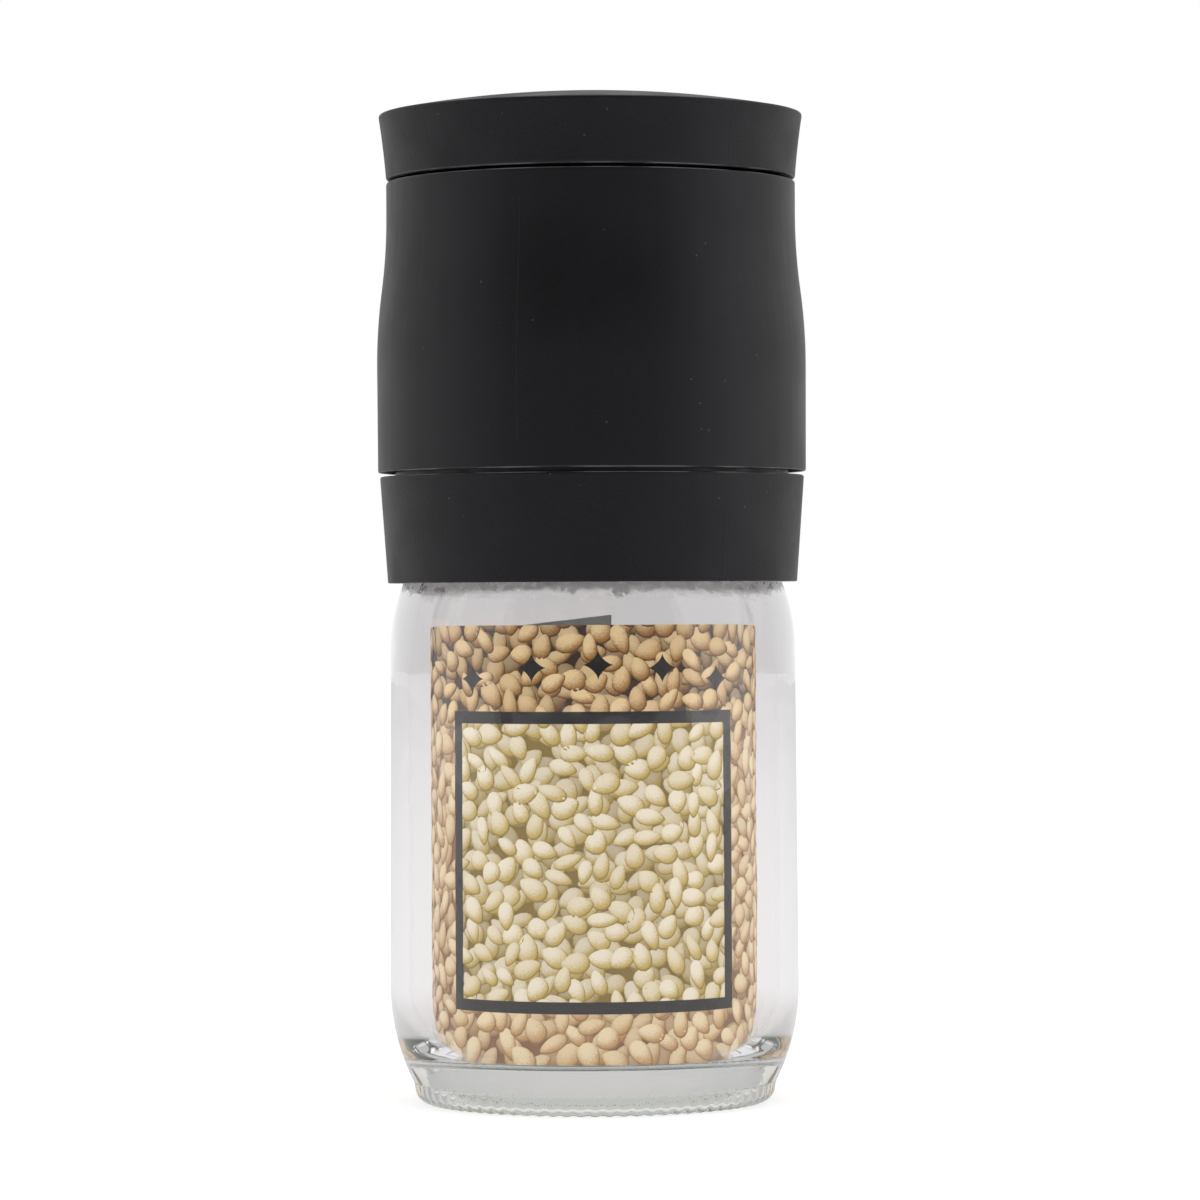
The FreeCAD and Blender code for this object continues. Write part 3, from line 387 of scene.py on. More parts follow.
share = nodes.math("MULTIPLY", share, between(nodes, radius, given["inner"], given["outer"]))
new_radius = nodes.math("ADD", radius, nodes.math("MULTIPLY", share, given["height"]))
place = from_polar(nodes, new_radius, turn, height)
moved = nodes.add("GeometryNodeSetPosition", Geometry=given["Mesh"], Position=place)
finish_tree(nodes, given, moved.outputs[0])


def new_material(name):
    material = bpy.data.materials.new(name)
    material.use_nodes = True
    return material, Nodes(material.node_tree)


def noise(nodes, place, size, detail=2.0, stretch=None):
    """Noise whose features are about `size` millimetres wide, on a place in metres."""
    if stretch:
        place = nodes.add("ShaderNodeMapping", place, Scale=stretch).outputs[0]
    return nodes.add("ShaderNodeTexNoise", place, Scale=1 / (size * MM), Detail=detail).outputs[0]


def on_object(nodes):
    return nodes.add("ShaderNodeTexCoord").outputs["Object"]


# Clear glass with the faint ripple of a blown wall, greener in the thick foot and chilled white in patches
# under the neck. Lamps reach what is inside it, and light that has been thrown about in it many times leaves
# it straight, so that the foot doesn't go black.
wall_tint = (0.985, 0.967, 0.971, 1)
foot_tint = (0.84, 0.875, 0.83, 1)
lamp_tint = (0.93, 0.95, 0.94, 1)
tired_tint = (0.84, 0.835, 0.838, 1)
most_passes = 7.5
most_mirrorings = 2.5
green_range = (2.0, 6.0)
frost_starts = (76.6, 77.6)
frost_ends = (77.0, 78.5)
frost_roughness = 0.55
clear_glass, nodes = new_material("clear_glass")
place = on_object(nodes)
ripple = nodes.add("ShaderNodeBump", Strength=0.25, Distance=0.2 * MM, Height=noise(nodes, place, 14.0))
up = nodes.math("DIVIDE", nodes.add("ShaderNodeSeparateXYZ", place).outputs[2], MM)
in_foot = nodes.span(up, *green_range, 1.0, 0.0)
uneven = nodes.math("ADD", up, nodes.math("MULTIPLY", noise(nodes, place, 3.0, 4.0), 4.0))
in_shoulder = nodes.math("MULTIPLY", nodes.span(uneven, *frost_starts), nodes.span(up, *frost_ends, 1.0, 0.0))
chilled = nodes.math("MULTIPLY", in_shoulder, nodes.span(noise(nodes, place, 1.2, 3.0), 0.3, 0.5))
waviness = nodes.span(noise(nodes, place, 6.0), 0.3, 0.8, 0.0, 0.03)
body = nodes.add(
    "ShaderNodeBsdfPrincipled",
    Base_Color=nodes.mix(in_foot, wall_tint, foot_tint),
    Roughness=nodes.math("ADD", nodes.math("MULTIPLY", chilled, frost_roughness), waviness),
    IOR=1.5,
    Transmission_Weight=1.0,
    Normal=ripple.outputs[0],
)
for_lamps = nodes.add("ShaderNodeBsdfTransparent", lamp_tint)
rays = nodes.add("ShaderNodeLightPath").outputs
lamps = nodes.math("MAXIMUM", rays["Is Shadow Ray"], rays["Is Diffuse Ray"])
many_passes = nodes.math("GREATER_THAN", rays["Ray Depth"], most_passes)
many_mirrorings = nodes.math("GREATER_THAN", rays["Glossy Depth"], most_mirrorings)
tired = nodes.math("MAXIMUM", many_passes, many_mirrorings)
dimmed = nodes.add("ShaderNodeBsdfTransparent", tired_tint)
until_tired = nodes.add("ShaderNodeMixShader", tired, body.outputs[0], dimmed.outputs[0])
either = nodes.add("ShaderNodeMixShader", lamps, until_tired.outputs[0], for_lamps.outputs[0])
nodes.add("ShaderNodeOutputMaterial", either.outputs[0])

heel_high = 17.0
body_high = 66.0
neck_low = 79.5
lip_high = 88.2
lip_round = 0.8
neck_radius = 25.8
mouth_radius = 23.0
bore_radius = 27.2
foot_inside = 7.2
thread_pitch = 4.0
knurl_count = 76
points_per_flute = 5
jar_outline = [
    (0, 1.8, -111.8), (19.98, 0), (24.2, 0, 2.3), (26.35, 1.6), (26.6, 3.0, 30.5), (30.0, heel_high),
    (29.7, body_high, 28.4), (26.8, 78.5, -1.0), (neck_radius, neck_low),
    (neck_radius, lip_high, 0, lip_round), (mouth_radius, lip_high, 0, lip_round),
    (mouth_radius, neck_low, -33.73), (bore_radius, 63.2), (bore_radius, heel_high, -15.2),
    (24.4, 8.2, -1.7), (23.0, foot_inside), (0, foot_inside),
]
jar_around = knurl_count * points_per_flute
jar = turned("glass_jar", jar_outline, clear_glass, around=jar_around, soft=0.3, arc_step=0.8, step=1.6)
apply_tree(
    jar, flutes, count=float(knurl_count), depth=0.08, rise=0.2, low=-1.0, high=3.2, fade=0.35, inner=19.0,
    outer=27.0
)
apply_tree(
    jar, thread, start=80.4, pitch=thread_pitch, turns=1.5, height=1.15, width=2.3, flank=0.7, inner=24.6,
    outer=26.0
)
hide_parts("glass_jar")
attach(jar, "jar")

# Printed card: thin card rolled up and stood in the empty jar, printed on its outer face with sesame seeds, a
# black frame and five small stars. Its ends stay apart at the back, and one end stands higher. The print's
# seeds are scattered on a flat sheet, bent round the card and trimmed to its edges.
card_radius = 23.9
card_thickness = 0.35
print_depth = 0.12
card_low = 7.8
card_high = 70.0
card_rise = 2.5
card_ends = (83.0, 433.0)
card_front = 270.0
frame_box = (-22.7, 22.4, 14.6, 57.7)
frame_bar = 1.75
star_places = ((-18.7, 62.35), (-8.75, 64.0), (0.75, 64.4), (9.95, 63.9), (19.25, 62.25))
star_reach = 2.2
star_hollow = 0.68
ink_colours = ((0.004, 0.002, 0.0015, 1), (0.02, 0.014, 0.011, 1))


def inside_box(nodes, across, up, box, grow):
    """1 inside a box of the print, made smaller by a negative grow."""
    aside = nodes.math("ABSOLUTE", nodes.math("SUBTRACT", across, (box[0] + box[1]) / 2))
    above = nodes.math("ABSOLUTE", nodes.math("SUBTRACT", up, (box[2] + box[3]) / 2))
    fits_across = nodes.math("LESS_THAN", aside, (box[1] - box[0]) / 2 + grow)
    return nodes.math("MULTIPLY", fits_across, nodes.math("LESS_THAN", above, (box[3] - box[2]) / 2 + grow))


def seed_paint(nodes, light, rim, depth, tint, gap, mid, pale):
    """Colours of the seeds, from mid to pale, with rims and deeper layers in the colour of the gaps."""
    body = nodes.mix(nodes.math("MULTIPLY", light, nodes.span(tint, 0, 1, 0.8, 1.1)), mid, pale)
    edged = nodes.mix(nodes.math("MULTIPLY", rim, 0.75), body, gap)
    return nodes.mix(depth, gap, edged)


# The print's mesh carries two attributes: own is a point's place in its seed, and marks are the seed's tint,
# the light on its layer and the way that it lies. The card under them has neither and shows the gaps' colour.
printed_paper, nodes = new_material("printed_paper")
place = on_object(nodes)
spot = nodes.add("ShaderNodeSeparateXYZ", place).outputs
front = nodes.math("ARCTAN2", spot[0], nodes.math("MULTIPLY", spot[1], -1.0))
across = nodes.math("MULTIPLY", front, card_radius)
up = nodes.math("DIVIDE", spot[2], MM)
own = nodes.add("ShaderNodeAttribute", settings={"attribute_name": "own"}).outputs["Vector"]
marks = nodes.add("ShaderNodeAttribute", settings={"attribute_name": "marks"}).outputs["Vector"]
tint, depth, lie = nodes.add("ShaderNodeSeparateXYZ", marks).outputs
laid = nodes.add("ShaderNodeVectorRotate", own, settings={"rotation_type": "Z_AXIS"}, Angle=lie).outputs[0]
lit_side = nodes.add(
    "ShaderNodeVectorMath", laid, (-0.4, 0.75, 0), settings={"operation": "DOT_PRODUCT"}
).outputs["Value"]
edge = nodes.add("ShaderNodeVectorMath", own, settings={"operation": "LENGTH"}).outputs["Value"]
fallen = nodes.math("SUBTRACT", 1.0, nodes.math("POWER", edge, 2.0))
dome = nodes.math("SQRT", nodes.math("MAXIMUM", fallen, 0.0))
mottle = nodes.span(noise(nodes, place, 0.2, 4.0), 0.3, 0.7, -0.12, 0.12)
light = nodes.math("ADD", nodes.math("MULTIPLY", dome, 0.68), nodes.math("MULTIPLY", lit_side, 0.62))
light = nodes.span(nodes.math("ADD", light, mottle), 0.05, 0.9)
rim = nodes.span(nodes.math("ADD", edge, nodes.math("MULTIPLY", lit_side, -0.15)), 0.84, 1.04)
# Painted shade: outside the frame the seeds and gaps turn darker and deeper in colour towards the card's top.
painted_shade_at_top = nodes.span(up, 52.0, 60.0)
tan_gap = nodes.mix(painted_shade_at_top, (0.28, 0.13, 0.055, 1), (0.04, 0.009, 0.001, 1))
tan_mid = nodes.mix(painted_shade_at_top, (0.58, 0.32, 0.12, 1), (0.36, 0.15, 0.02, 1))
tan_pale = nodes.mix(painted_shade_at_top, (0.95, 0.75, 0.49, 1), (0.92, 0.66, 0.36, 1))
tan_seeds = seed_paint(nodes, light, rim, depth, tint, tan_gap, tan_mid, tan_pale)
frame_paints = ((0.25, 0.15, 0.01, 1), (0.6, 0.41, 0.08, 1), (0.97, 0.84, 0.67, 1))
pale_seeds = seed_paint(nodes, light, rim, depth, tint, *frame_paints)
outside = inside_box(nodes, across, up, frame_box, 0.0)
within = inside_box(nodes, across, up, frame_box, -frame_bar)
ink = nodes.math("SUBTRACT", outside, within)
for star_across, star_up in star_places:
    arms = [
        nodes.math("POWER", nodes.math("ABSOLUTE", nodes.math("SUBTRACT", value, middle)), star_hollow)
        for value, middle in ((across, star_across), (up, star_up))
    ]
    star = nodes.math("LESS_THAN", nodes.math("ADD", *arms), star_reach**star_hollow)
    ink = nodes.math("MAXIMUM", ink, star)
worn_ink = nodes.mix(nodes.span(noise(nodes, place, 3.0, 4.0), 0.45, 0.8), *ink_colours)
inked = nodes.mix(ink, nodes.mix(outside, tan_seeds, pale_seeds), worn_ink)
out_squared = nodes.math("ADD", nodes.math("POWER", spot[0], 2.0), nodes.math("POWER", spot[1], 2.0))
printed_from = (card_radius - print_depth - 0.05) * MM
printed = nodes.math("GREATER_THAN", out_squared, printed_from**2)
fibre = nodes.span(noise(nodes, place, 0.4, 4.0), 0.3, 0.7, 0.72, 0.8)
blank = nodes.add("ShaderNodeCombineColor", fibre, fibre, nodes.math("MULTIPLY", fibre, 0.98)).outputs[0]
grain = nodes.add("ShaderNodeBump", Strength=0.3, Distance=0.03 * MM, Height=noise(nodes, place, 0.3))
paper = nodes.add(
    "ShaderNodeBsdfPrincipled",
    Base_Color=nodes.mix(printed, blank, inked),
    Roughness=nodes.span(printed, 0, 1, 0.85, 0.5),
    Specular_IOR_Level=0.22,
    Normal=grain.outputs[0],
)
nodes.add("ShaderNodeOutputMaterial", paper.outputs[0])


climb_past = 0.7
climb_end = card_radius * math.cos(math.radians(card_ends[0])) + climb_past
climb_slope = card_rise / (climb_end + card_radius)


def card_top(x, y):
    """Height of the card's top edge. Its far left part climbs towards the end that shows at the back."""
    if y < 0 or x > climb_end:
        return card_high
    return card_high + climb_slope * (x + card_radius)


card_columns = 350
card_rows = 12
vertices, faces = [], []
for column in range(card_columns + 1):
    angle = math.radians(card_ends[0] + (card_ends[1] - card_ends[0]) * column / card_columns)
    way = np.array([math.cos(angle), math.sin(angle)])
    top = card_top(*(way * card_radius))
    for radius in (card_radius - print_depth, card_radius - card_thickness):
        for row in range(card_rows + 1):
            vertices.append((*(way * radius), card_low + (top - card_low) * row / card_rows))
per_side = card_rows + 1
per_column = 2 * per_side
for column in range(card_columns):
    for row in range(card_rows):
        a = column * per_column + row
        b = a + per_column
        faces.append((a, b, b + 1, a + 1))
        faces.append((a + per_side, a + per_side + 1, b + per_side + 1, b + per_side))
    for row in (0, card_rows):
        a = column * per_column + row
        b = a + per_column
        rim_face = (a, a + per_side, b + per_side, b)
        faces.append(rim_face if row == 0 else rim_face[::-1])
for column in (0, card_columns):
    for row in range(card_rows):
        a = column * per_column + row
        end = (a, a + 1, a + per_side + 1, a + per_side)
        faces.append(end if column == 0 else end[::-1])
card = new_piece("printed_card", vertices, faces, printed_paper)
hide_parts("printed_card")
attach(card, "jar")

# The seeds tree shapes a flat disc into a pointed seed and lays three layers of it over the card's outer
# face. Each layer has the lowest and highest place of its seeds, and the share of light that reaches it.
seed_layers = ((-0.09, -0.06, 0.45), (-0.05, -0.03, 0.82), (-0.02, 0.0, 1.0))
seed_long = 4.3
seed_wide = 3.0
seed_spacing = 2.5
long_range = (0.8, 1.08)
wide_range = (0.68, 1.12)
seed_tip = 0.05
seed_taper = 0.24
seed_fullness = 1.1
seed_sizes = ("long", "wide", "left", "right", "low", "high", "radius", "spacing")
seeds, nodes, given = shape_tree("seeds", seed_sizes)
own = nodes.add("GeometryNodeInputPosition").outputs[0]
per_point = {"data_type": "FLOAT_VECTOR", "domain": "POINT"}
disc = nodes.add("GeometryNodeStoreNamedAttribute", given["Mesh"], settings=per_point, Name="own", Value=own)
x, y, z = nodes.add("ShaderNodeSeparateXYZ", own).outputs
blunt = nodes.math("ADD", nodes.math("MULTIPLY", nodes.math("SUBTRACT", 1.0, x), 0.5), seed_tip)
taper = nodes.math("MULTIPLY", nodes.math("POWER", blunt, seed_taper), 0.5 * seed_fullness * MM)
shaped_x = nodes.math("MULTIPLY", nodes.math("MULTIPLY", x, given["long"]), 0.5 * MM)
shaped_y = nodes.math("MULTIPLY", nodes.math("MULTIPLY", y, given["wide"]), taper)
shaped = nodes.add("ShaderNodeCombineXYZ", shaped_x, shaped_y, nodes.math("MULTIPLY", z, MM)).outputs[0]
seed_shape = nodes.add("GeometryNodeSetPosition", Geometry=disc.outputs[0], Position=shaped).outputs[0]
width = nodes.math("MULTIPLY", nodes.math("SUBTRACT", given["right"], given["left"]), MM)
tall = nodes.math("MULTIPLY", nodes.math("SUBTRACT", given["high"], given["low"]), MM)
grid = nodes.add("GeometryNodeMeshGrid", width, tall, 2, 2).outputs[0]
middle_x = nodes.math("MULTIPLY", nodes.math("ADD", given["right"], given["left"]), 0.5 * MM)
middle_y = nodes.math("MULTIPLY", nodes.math("ADD", given["high"], given["low"]), 0.5 * MM)


def chance(nodes, low, high, pick):
    """A number picked afresh for each seed."""
    node = nodes.add("FunctionNodeRandomValue", settings={"data_type": "FLOAT"})
    nodes.feed(node.inputs[2], low)
    nodes.feed(node.inputs[3], high)
    nodes.feed(node.inputs[8], pick)
    return node.outputs[1]


layers = nodes.add("GeometryNodeJoinGeometry")
spaced = nodes.math("MULTIPLY", given["spacing"], MM)
dense = nodes.math("DIVIDE", 4.0, nodes.math("POWER", spaced, 2.0))
for order, (low_lift, high_lift, share) in enumerate(seed_layers):
    pick = 10 * order
    scattered = nodes.add(
        "GeometryNodeDistributePointsOnFaces", grid, settings={"distribute_method": "POISSON"},
        Distance_Min=spaced, Density_Max=dense, Seed=pick
    ).outputs[0]
    angle = chance(nodes, 0.0, 2 * math.pi, pick + 1)
    marks = nodes.add("ShaderNodeCombineXYZ", chance(nodes, 0.0, 1.0, pick + 2), share, angle).outputs[0]
    marked = nodes.add(
        "GeometryNodeStoreNamedAttribute", scattered, settings=per_point, Name="marks", Value=marks
    ).outputs[0]
    lift = nodes.math("MULTIPLY", chance(nodes, low_lift, high_lift, pick + 3), MM)
    shift = nodes.add("ShaderNodeCombineXYZ", middle_x, middle_y, lift).outputs[0]
    raised = nodes.add("GeometryNodeSetPosition", Geometry=marked, Offset=shift).outputs[0]
    sizes = (chance(nodes, *long_range, pick + 4), chance(nodes, *wide_range, pick + 5), 1.0)
    spin = nodes.add("ShaderNodeCombineXYZ", 0.0, 0.0, angle).outputs[0]
    scale = nodes.add("ShaderNodeCombineXYZ", *sizes).outputs[0]
    copies = nodes.add(
        "GeometryNodeInstanceOnPoints", raised, Instance=seed_shape, Rotation=spin, Scale=scale
    )
    nodes.feed(layers.inputs[0], copies.outputs[0])
sheet = nodes.add("GeometryNodeRealizeInstances", layers.outputs[0]).outputs[0]
flat = nodes.add("ShaderNodeSeparateXYZ", nodes.add("GeometryNodeInputPosition").outputs[0]).outputs
from_front = nodes.math("DIVIDE", flat[0], nodes.math("MULTIPLY", given["radius"], 2 * math.pi * MM))
turn = nodes.math("ADD", from_front, card_front / 360)
radius = nodes.math("ADD", given["radius"], nodes.math("DIVIDE", flat[2], MM))
bent = from_polar(nodes, radius, turn, nodes.math("DIVIDE", flat[1], MM))
finish_tree(nodes, given, nodes.add("GeometryNodeSetPosition", Geometry=sheet, Position=bent).outputs[0])

# The disc is drawn with a radius of 1, which the tree makes a seed's. Each ring has a share of the radius and
# a height in millimetres, and the last ring is the skirt that reaches down to the card.
disc_sides = 14
disc_rings = ((0.5, 0.0), (1.0, 0.0), (1.0, -print_depth))
vertices = [(0, 0, 0)]
faces = []
for order, (reach, drop) in enumerate(disc_rings):
    for side in range(disc_sides):
        angle = 2 * math.pi * side / disc_sides
        vertices.append((reach * math.cos(angle), reach * math.sin(angle), drop))
        here, there = side + 1, (side + 1) % disc_sides + 1
        outer = order * disc_sides
        inner = outer - disc_sides
        if order == 0:
            faces.append((0, here, there))
        else:
            faces.append((inner + here, outer + here, outer + there, inner + there))
print_piece = new_piece("printed_seeds", np.array(vertices) / MM, faces, printed_paper)
card_reach = [math.radians(end - card_front) * card_radius for end in card_ends]
apply_tree(
    print_piece, seeds, long=seed_long, wide=seed_wide, left=card_reach[0], right=card_reach[1],
    low=card_low, high=card_high + card_rise, radius=card_radius, spacing=seed_spacing
)


def trim_print(mesh):
    """Cuts the seeds off at the card's edges."""
    cut = bmesh.new()
    cut.from_mesh(mesh)
    planes = [((0, 0, card_low), (0, 0, 1)), ((0, 0, card_high), (0, 0, 1))]
    planes.append(((-card_radius, 0, card_high), (-climb_slope, 0, 1)))
    for end in card_ends:
        planes.append(((0, 0, 0), (math.sin(math.radians(end)), -math.cos(math.radians(end)), 0)))
    for point, normal in planes:
        everything = [*cut.verts, *cut.edges, *cut.faces]
        bmesh.ops.bisect_plane(cut, geom=everything, plane_co=Vector(point) * MM, plane_no=normal)
    beyond = []
    for face in cut.faces:
        x, y, z = face.calc_center_median() / MM
        angle = math.degrees(math.atan2(y, x))
        if not card_low < z < card_top(x, y) or card_ends[1] - 360 < angle < card_ends[0]:
            beyond.append(face)
    bmesh.ops.delete(cut, geom=beyond, context="FACES")
    cut.to_mesh(mesh)
    cut.free()


trim_print(print_piece.data)
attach(print_piece, "jar")

# Gasket: a soft white ring, punched from sheet, that sits under the collar's deck and seals on the jar's lip.
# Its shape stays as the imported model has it.
soft_white, nodes = new_material("soft_white_seal")
place = on_object(nodes)
grain = nodes.add("ShaderNodeBump", Strength=0.2, Distance=0.05 * MM, Height=noise(nodes, place, 0.5))
seal = nodes.add(
    "ShaderNodeBsdfPrincipled",
    Base_Color=nodes.mix(noise(nodes, place, 5.0), (0.72, 0.72, 0.69, 1), (0.82, 0.82, 0.8, 1)),
    Roughness=nodes.span(noise(nodes, place, 2.0), 0.2, 0.8, 0.5, 0.65),
    Subsurface_Weight=0.2,
    Subsurface_Scale=2 * MM,
    Normal=grain.outputs[0],
)
nodes.add("ShaderNodeOutputMaterial", seal.outputs[0])


def repaint(node, material):
    """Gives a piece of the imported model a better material."""
    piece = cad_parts[node]
    piece.data.materials.clear()
    piece.data.materials.append(material)


repaint("jar_gasket", soft_white)


# Collar: black moulded plastic with a fine sandblasted grain. Its skirt tapers down over the jar's shoulder,
# a threaded sleeve inside takes the jar's neck, and the spigot above the deck carries the grip.
black_colours = ((0.0018, 0.0016, 0.002, 1), (0.0042, 0.0038, 0.0046, 1))
dust_colour = (0.1, 0.1, 0.1, 1)
# Painted highlight: a pale colour laid along the edges in place of the light that their rounds catch.
edge_highlight_colour = (0.13, 0.128, 0.134, 1)
dust_spacing = 3.2


def black_plastic(name, grain_size, grain_depth, roughness, seam_degrees, seam_range, edges, streaks=0.0):
    """Black moulded plastic: grain, handling marks, dust, and a painted highlight along the edges at the
    given heights.

    The mould's line shows at one angle, between the two heights of seam_range.
    """
    material, nodes = new_material(name)
    place = on_object(nodes)
    cut = nodes.add("ShaderNodeSeparateXYZ", place).outputs
    fine = noise(nodes, place, grain_size, 3.0)
    patches = noise(nodes, place, 9.0, 3.0)
    lines = noise(nodes, place, 1.1, 2.0, stretch=(1, 1, 0.03))
    scuffs = nodes.math("ADD", nodes.math("MULTIPLY", lines, streaks), patches)
    seam_angle = math.radians(seam_degrees)
    dot = {"operation": "DOT_PRODUCT"}
    sideways = (math.sin(seam_angle), -math.cos(seam_angle), 0)
    aside = nodes.add("ShaderNodeVectorMath", place, sideways, settings=dot).outputs["Value"]
    outward = (math.cos(seam_angle), math.sin(seam_angle), 0)
    ahead = nodes.add("ShaderNodeVectorMath", place, outward, settings=dot).outputs["Value"]
    line = nodes.span(nodes.math("ABSOLUTE", aside), 0.03 * MM, 0.11 * MM, 1.0, 0.0)
    line = nodes.math("MULTIPLY", line, nodes.math("GREATER_THAN", ahead, 20 * MM))
    line = nodes.math("MULTIPLY", line, between(nodes, cut[2], *(v * MM for v in seam_range)))
    dust = nodes.add("ShaderNodeTexVoronoi", place, Scale=1 / (dust_spacing * MM), Randomness=1.0)
    speck = nodes.span(dust.outputs["Distance"], 0.03, 0.045, 1.0, 0.0)
    base = nodes.mix(nodes.span(fine, 0.3, 0.7), *black_colours)
    base = nodes.mix(nodes.math("MULTIPLY", speck, 0.5), base, dust_colour)
    # Painted highlight: each edge height gets a thin pale line, broken up by noise, standing in for light
    # caught by the edge.
    highlight_breaks = nodes.span(noise(nodes, place, 7.0, 3.0), 0.35, 0.65, 0.15, 1.0)
    for height in edges:
        off = nodes.math("ABSOLUTE", nodes.math("SUBTRACT", cut[2], height * MM))
        edge_highlight = nodes.math("MULTIPLY", nodes.span(off, 0.06 * MM, 0.2 * MM, 1.0, 0.0), highlight_breaks)
        base = nodes.mix(edge_highlight, base, edge_highlight_colour)
    grain = nodes.add("ShaderNodeBump", Strength=1.0, Distance=grain_depth * MM, Height=fine)
    grained = grain.outputs[0]
    ridge = nodes.add("ShaderNodeBump", Strength=1.0, Distance=0.04 * MM, Height=line, Normal=grained)
    skin = nodes.add(
        "ShaderNodeBsdfPrincipled",
        Base_Color=base,
        Roughness=nodes.span(scuffs, 0.3, 0.8 + streaks, roughness - 0.05, roughness + 0.07),
        Specular_IOR_Level=0.32,
        Specular_Tint=(0.98, 0.93, 1.0, 1),
        Normal=ridge.outputs[0],
    )
    nodes.add("ShaderNodeOutputMaterial", skin.outputs[0])
    return material


skirt_low = 76.2
skirt_top = 89.25
deck_low = 89.6
deck_high = 91.8
sleeve_low = 78.5
sleeve_bore = 27.3
sleeve_radius = 28.4
spigot_radius = 26.0
spigot_bore = 23.9
spigot_high = 99.05
groove_radius = 25.2
groove_low = 96.25
groove_high = 97.55
seed_hole = 18.5
edge_round = 0.35
collar_plastic = black_plastic("black_grained_collar", 0.3, 0.045, 0.5, 308.0, (76, 89), (deck_high,))
collar_outline = [
    (28.75, skirt_low), (30.05, skirt_low, 0, edge_round), (31.15, deck_high, 0, edge_round),
    (spigot_radius, deck_high), (spigot_radius, groove_low), (groove_radius, groove_low),
    (groove_radius, groove_high), (spigot_radius, groove_high), (spigot_radius, spigot_high, 0, edge_round),
    (spigot_bore, spigot_high), (spigot_bore, deck_high), (seed_hole, deck_high), (seed_hole, deck_low),
    (sleeve_bore, deck_low), (sleeve_bore, sleeve_low), (sleeve_radius, sleeve_low),
    (sleeve_radius, skirt_top), (29.67, skirt_top),
]
collar = turned("jar_collar", collar_outline, collar_plastic, around=240, step=0.45)
apply_tree(
    collar, thread, start=82.4, pitch=thread_pitch, turns=1.25, height=-1.1, width=1.7, flank=0.5, inner=27.0,
    outer=27.6
)
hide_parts("jar_collar")
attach(collar, "collar")


# Inner plastic and steel: satin moulded plastic for the bridge, hub and rings, and bright steel for the
# screws, washers, snap ring and shaft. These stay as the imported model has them.
def satin_plastic(name, low, high):
    material, nodes = new_material(name)
    place = on_object(nodes)
    bump = nodes.add("ShaderNodeBump", Strength=0.6, Distance=0.02 * MM, Height=noise(nodes, place, 0.5, 3.0))
    skin = nodes.add(
        "ShaderNodeBsdfPrincipled",
        Base_Color=nodes.mix(noise(nodes, place, 4.0, 3.0), low, high),
        Roughness=nodes.span(noise(nodes, place, 3.0, 3.0), 0.3, 0.7, 0.34, 0.48),
        Normal=bump.outputs[0],
    )
    nodes.add("ShaderNodeOutputMaterial", skin.outputs[0])
    return material


inner_plastic = satin_plastic("dark_satin_plastic", (0.02, 0.02, 0.021, 1), (0.032, 0.032, 0.034, 1))
slip_plastic = satin_plastic("black_slip_plastic", (0.004, 0.004, 0.0045, 1), (0.008, 0.008, 0.009, 1))

bright_steel, nodes = new_material("bright_steel")
place = on_object(nodes)
brushed = noise(nodes, place, 0.4, 3.0, stretch=(1, 1, 0.05))
steel = nodes.add(
    "ShaderNodeBsdfPrincipled",
    Base_Color=nodes.mix(noise(nodes, place, 2.0), (0.55, 0.55, 0.54, 1), (0.66, 0.66, 0.64, 1)),
    Metallic=1.0,
    Roughness=nodes.span(brushed, 0.3, 0.7, 0.2, 0.36),
    Normal=nodes.add("ShaderNodeBump", Strength=0.2, Distance=0.01 * MM, Height=brushed).outputs[0],
)
nodes.add("ShaderNodeOutputMaterial", steel.outputs[0])

plastic_nodes = ("shaft_bridge", "burr_hub", "burr_clamp_ring")
steel_nodes = (
    "snap_ring", "bridge_screws", "holder_screws", "spring_washer", "adjuster_washer", "centre_shaft"
)
for node in plastic_nodes:
    repaint(node, inner_plastic)
repaint("slip_ring", slip_plastic)
for node in steel_nodes:
    repaint(node, bright_steel)

# Burr spring: steel wire wound round the shaft. It stands on the bridge's hub and pushes the cone up against
# the knob, and it shortens as the knob is turned down.
spring_radius = 4.6
spring_wire = 0.8
spring_low = 97.05
spring_high = 105.95
spring_turns = 4.5
coil, nodes, given = shape_tree("coil", ("radius", "wire", "turns", "low", "high"))
metres = {name: nodes.math("MULTIPLY", given[name], MM) for name in ("radius", "wire", "low", "high")}
climb = nodes.math("SUBTRACT", nodes.math("SUBTRACT", metres["high"], metres["low"]), metres["wire"])
helix = nodes.add("GeometryNodeCurveSpiral", 48, given["turns"], metres["radius"], metres["radius"], climb)
section = nodes.add("GeometryNodeCurvePrimitiveCircle", Resolution=12)
nodes.feed(section.inputs["Radius"], nodes.math("MULTIPLY", metres["wire"], 0.5))
wire = nodes.add("GeometryNodeCurveToMesh", helix.outputs[0], section.outputs[0])
nodes.feed(wire.inputs["Fill Caps"], True)
lift = nodes.math("ADD", metres["low"], nodes.math("MULTIPLY", metres["wire"], 0.5))
lifted = nodes.add("GeometryNodeTransform", wire.outputs[0])
nodes.feed(lifted.inputs["Translation"], nodes.add("ShaderNodeCombineXYZ", 0.0, 0.0, lift).outputs[0])
finish_tree(nodes, given, lifted.outputs[0])
spring = new_piece("burr_spring", [(0, 0, spring_low)], [], bright_steel)
apply_tree(
    spring, coil, radius=spring_radius, wire=spring_wire, turns=spring_turns, low=spring_low, high=spring_high
)
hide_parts("burr_spring")
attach(spring, "collar")
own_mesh(spring)

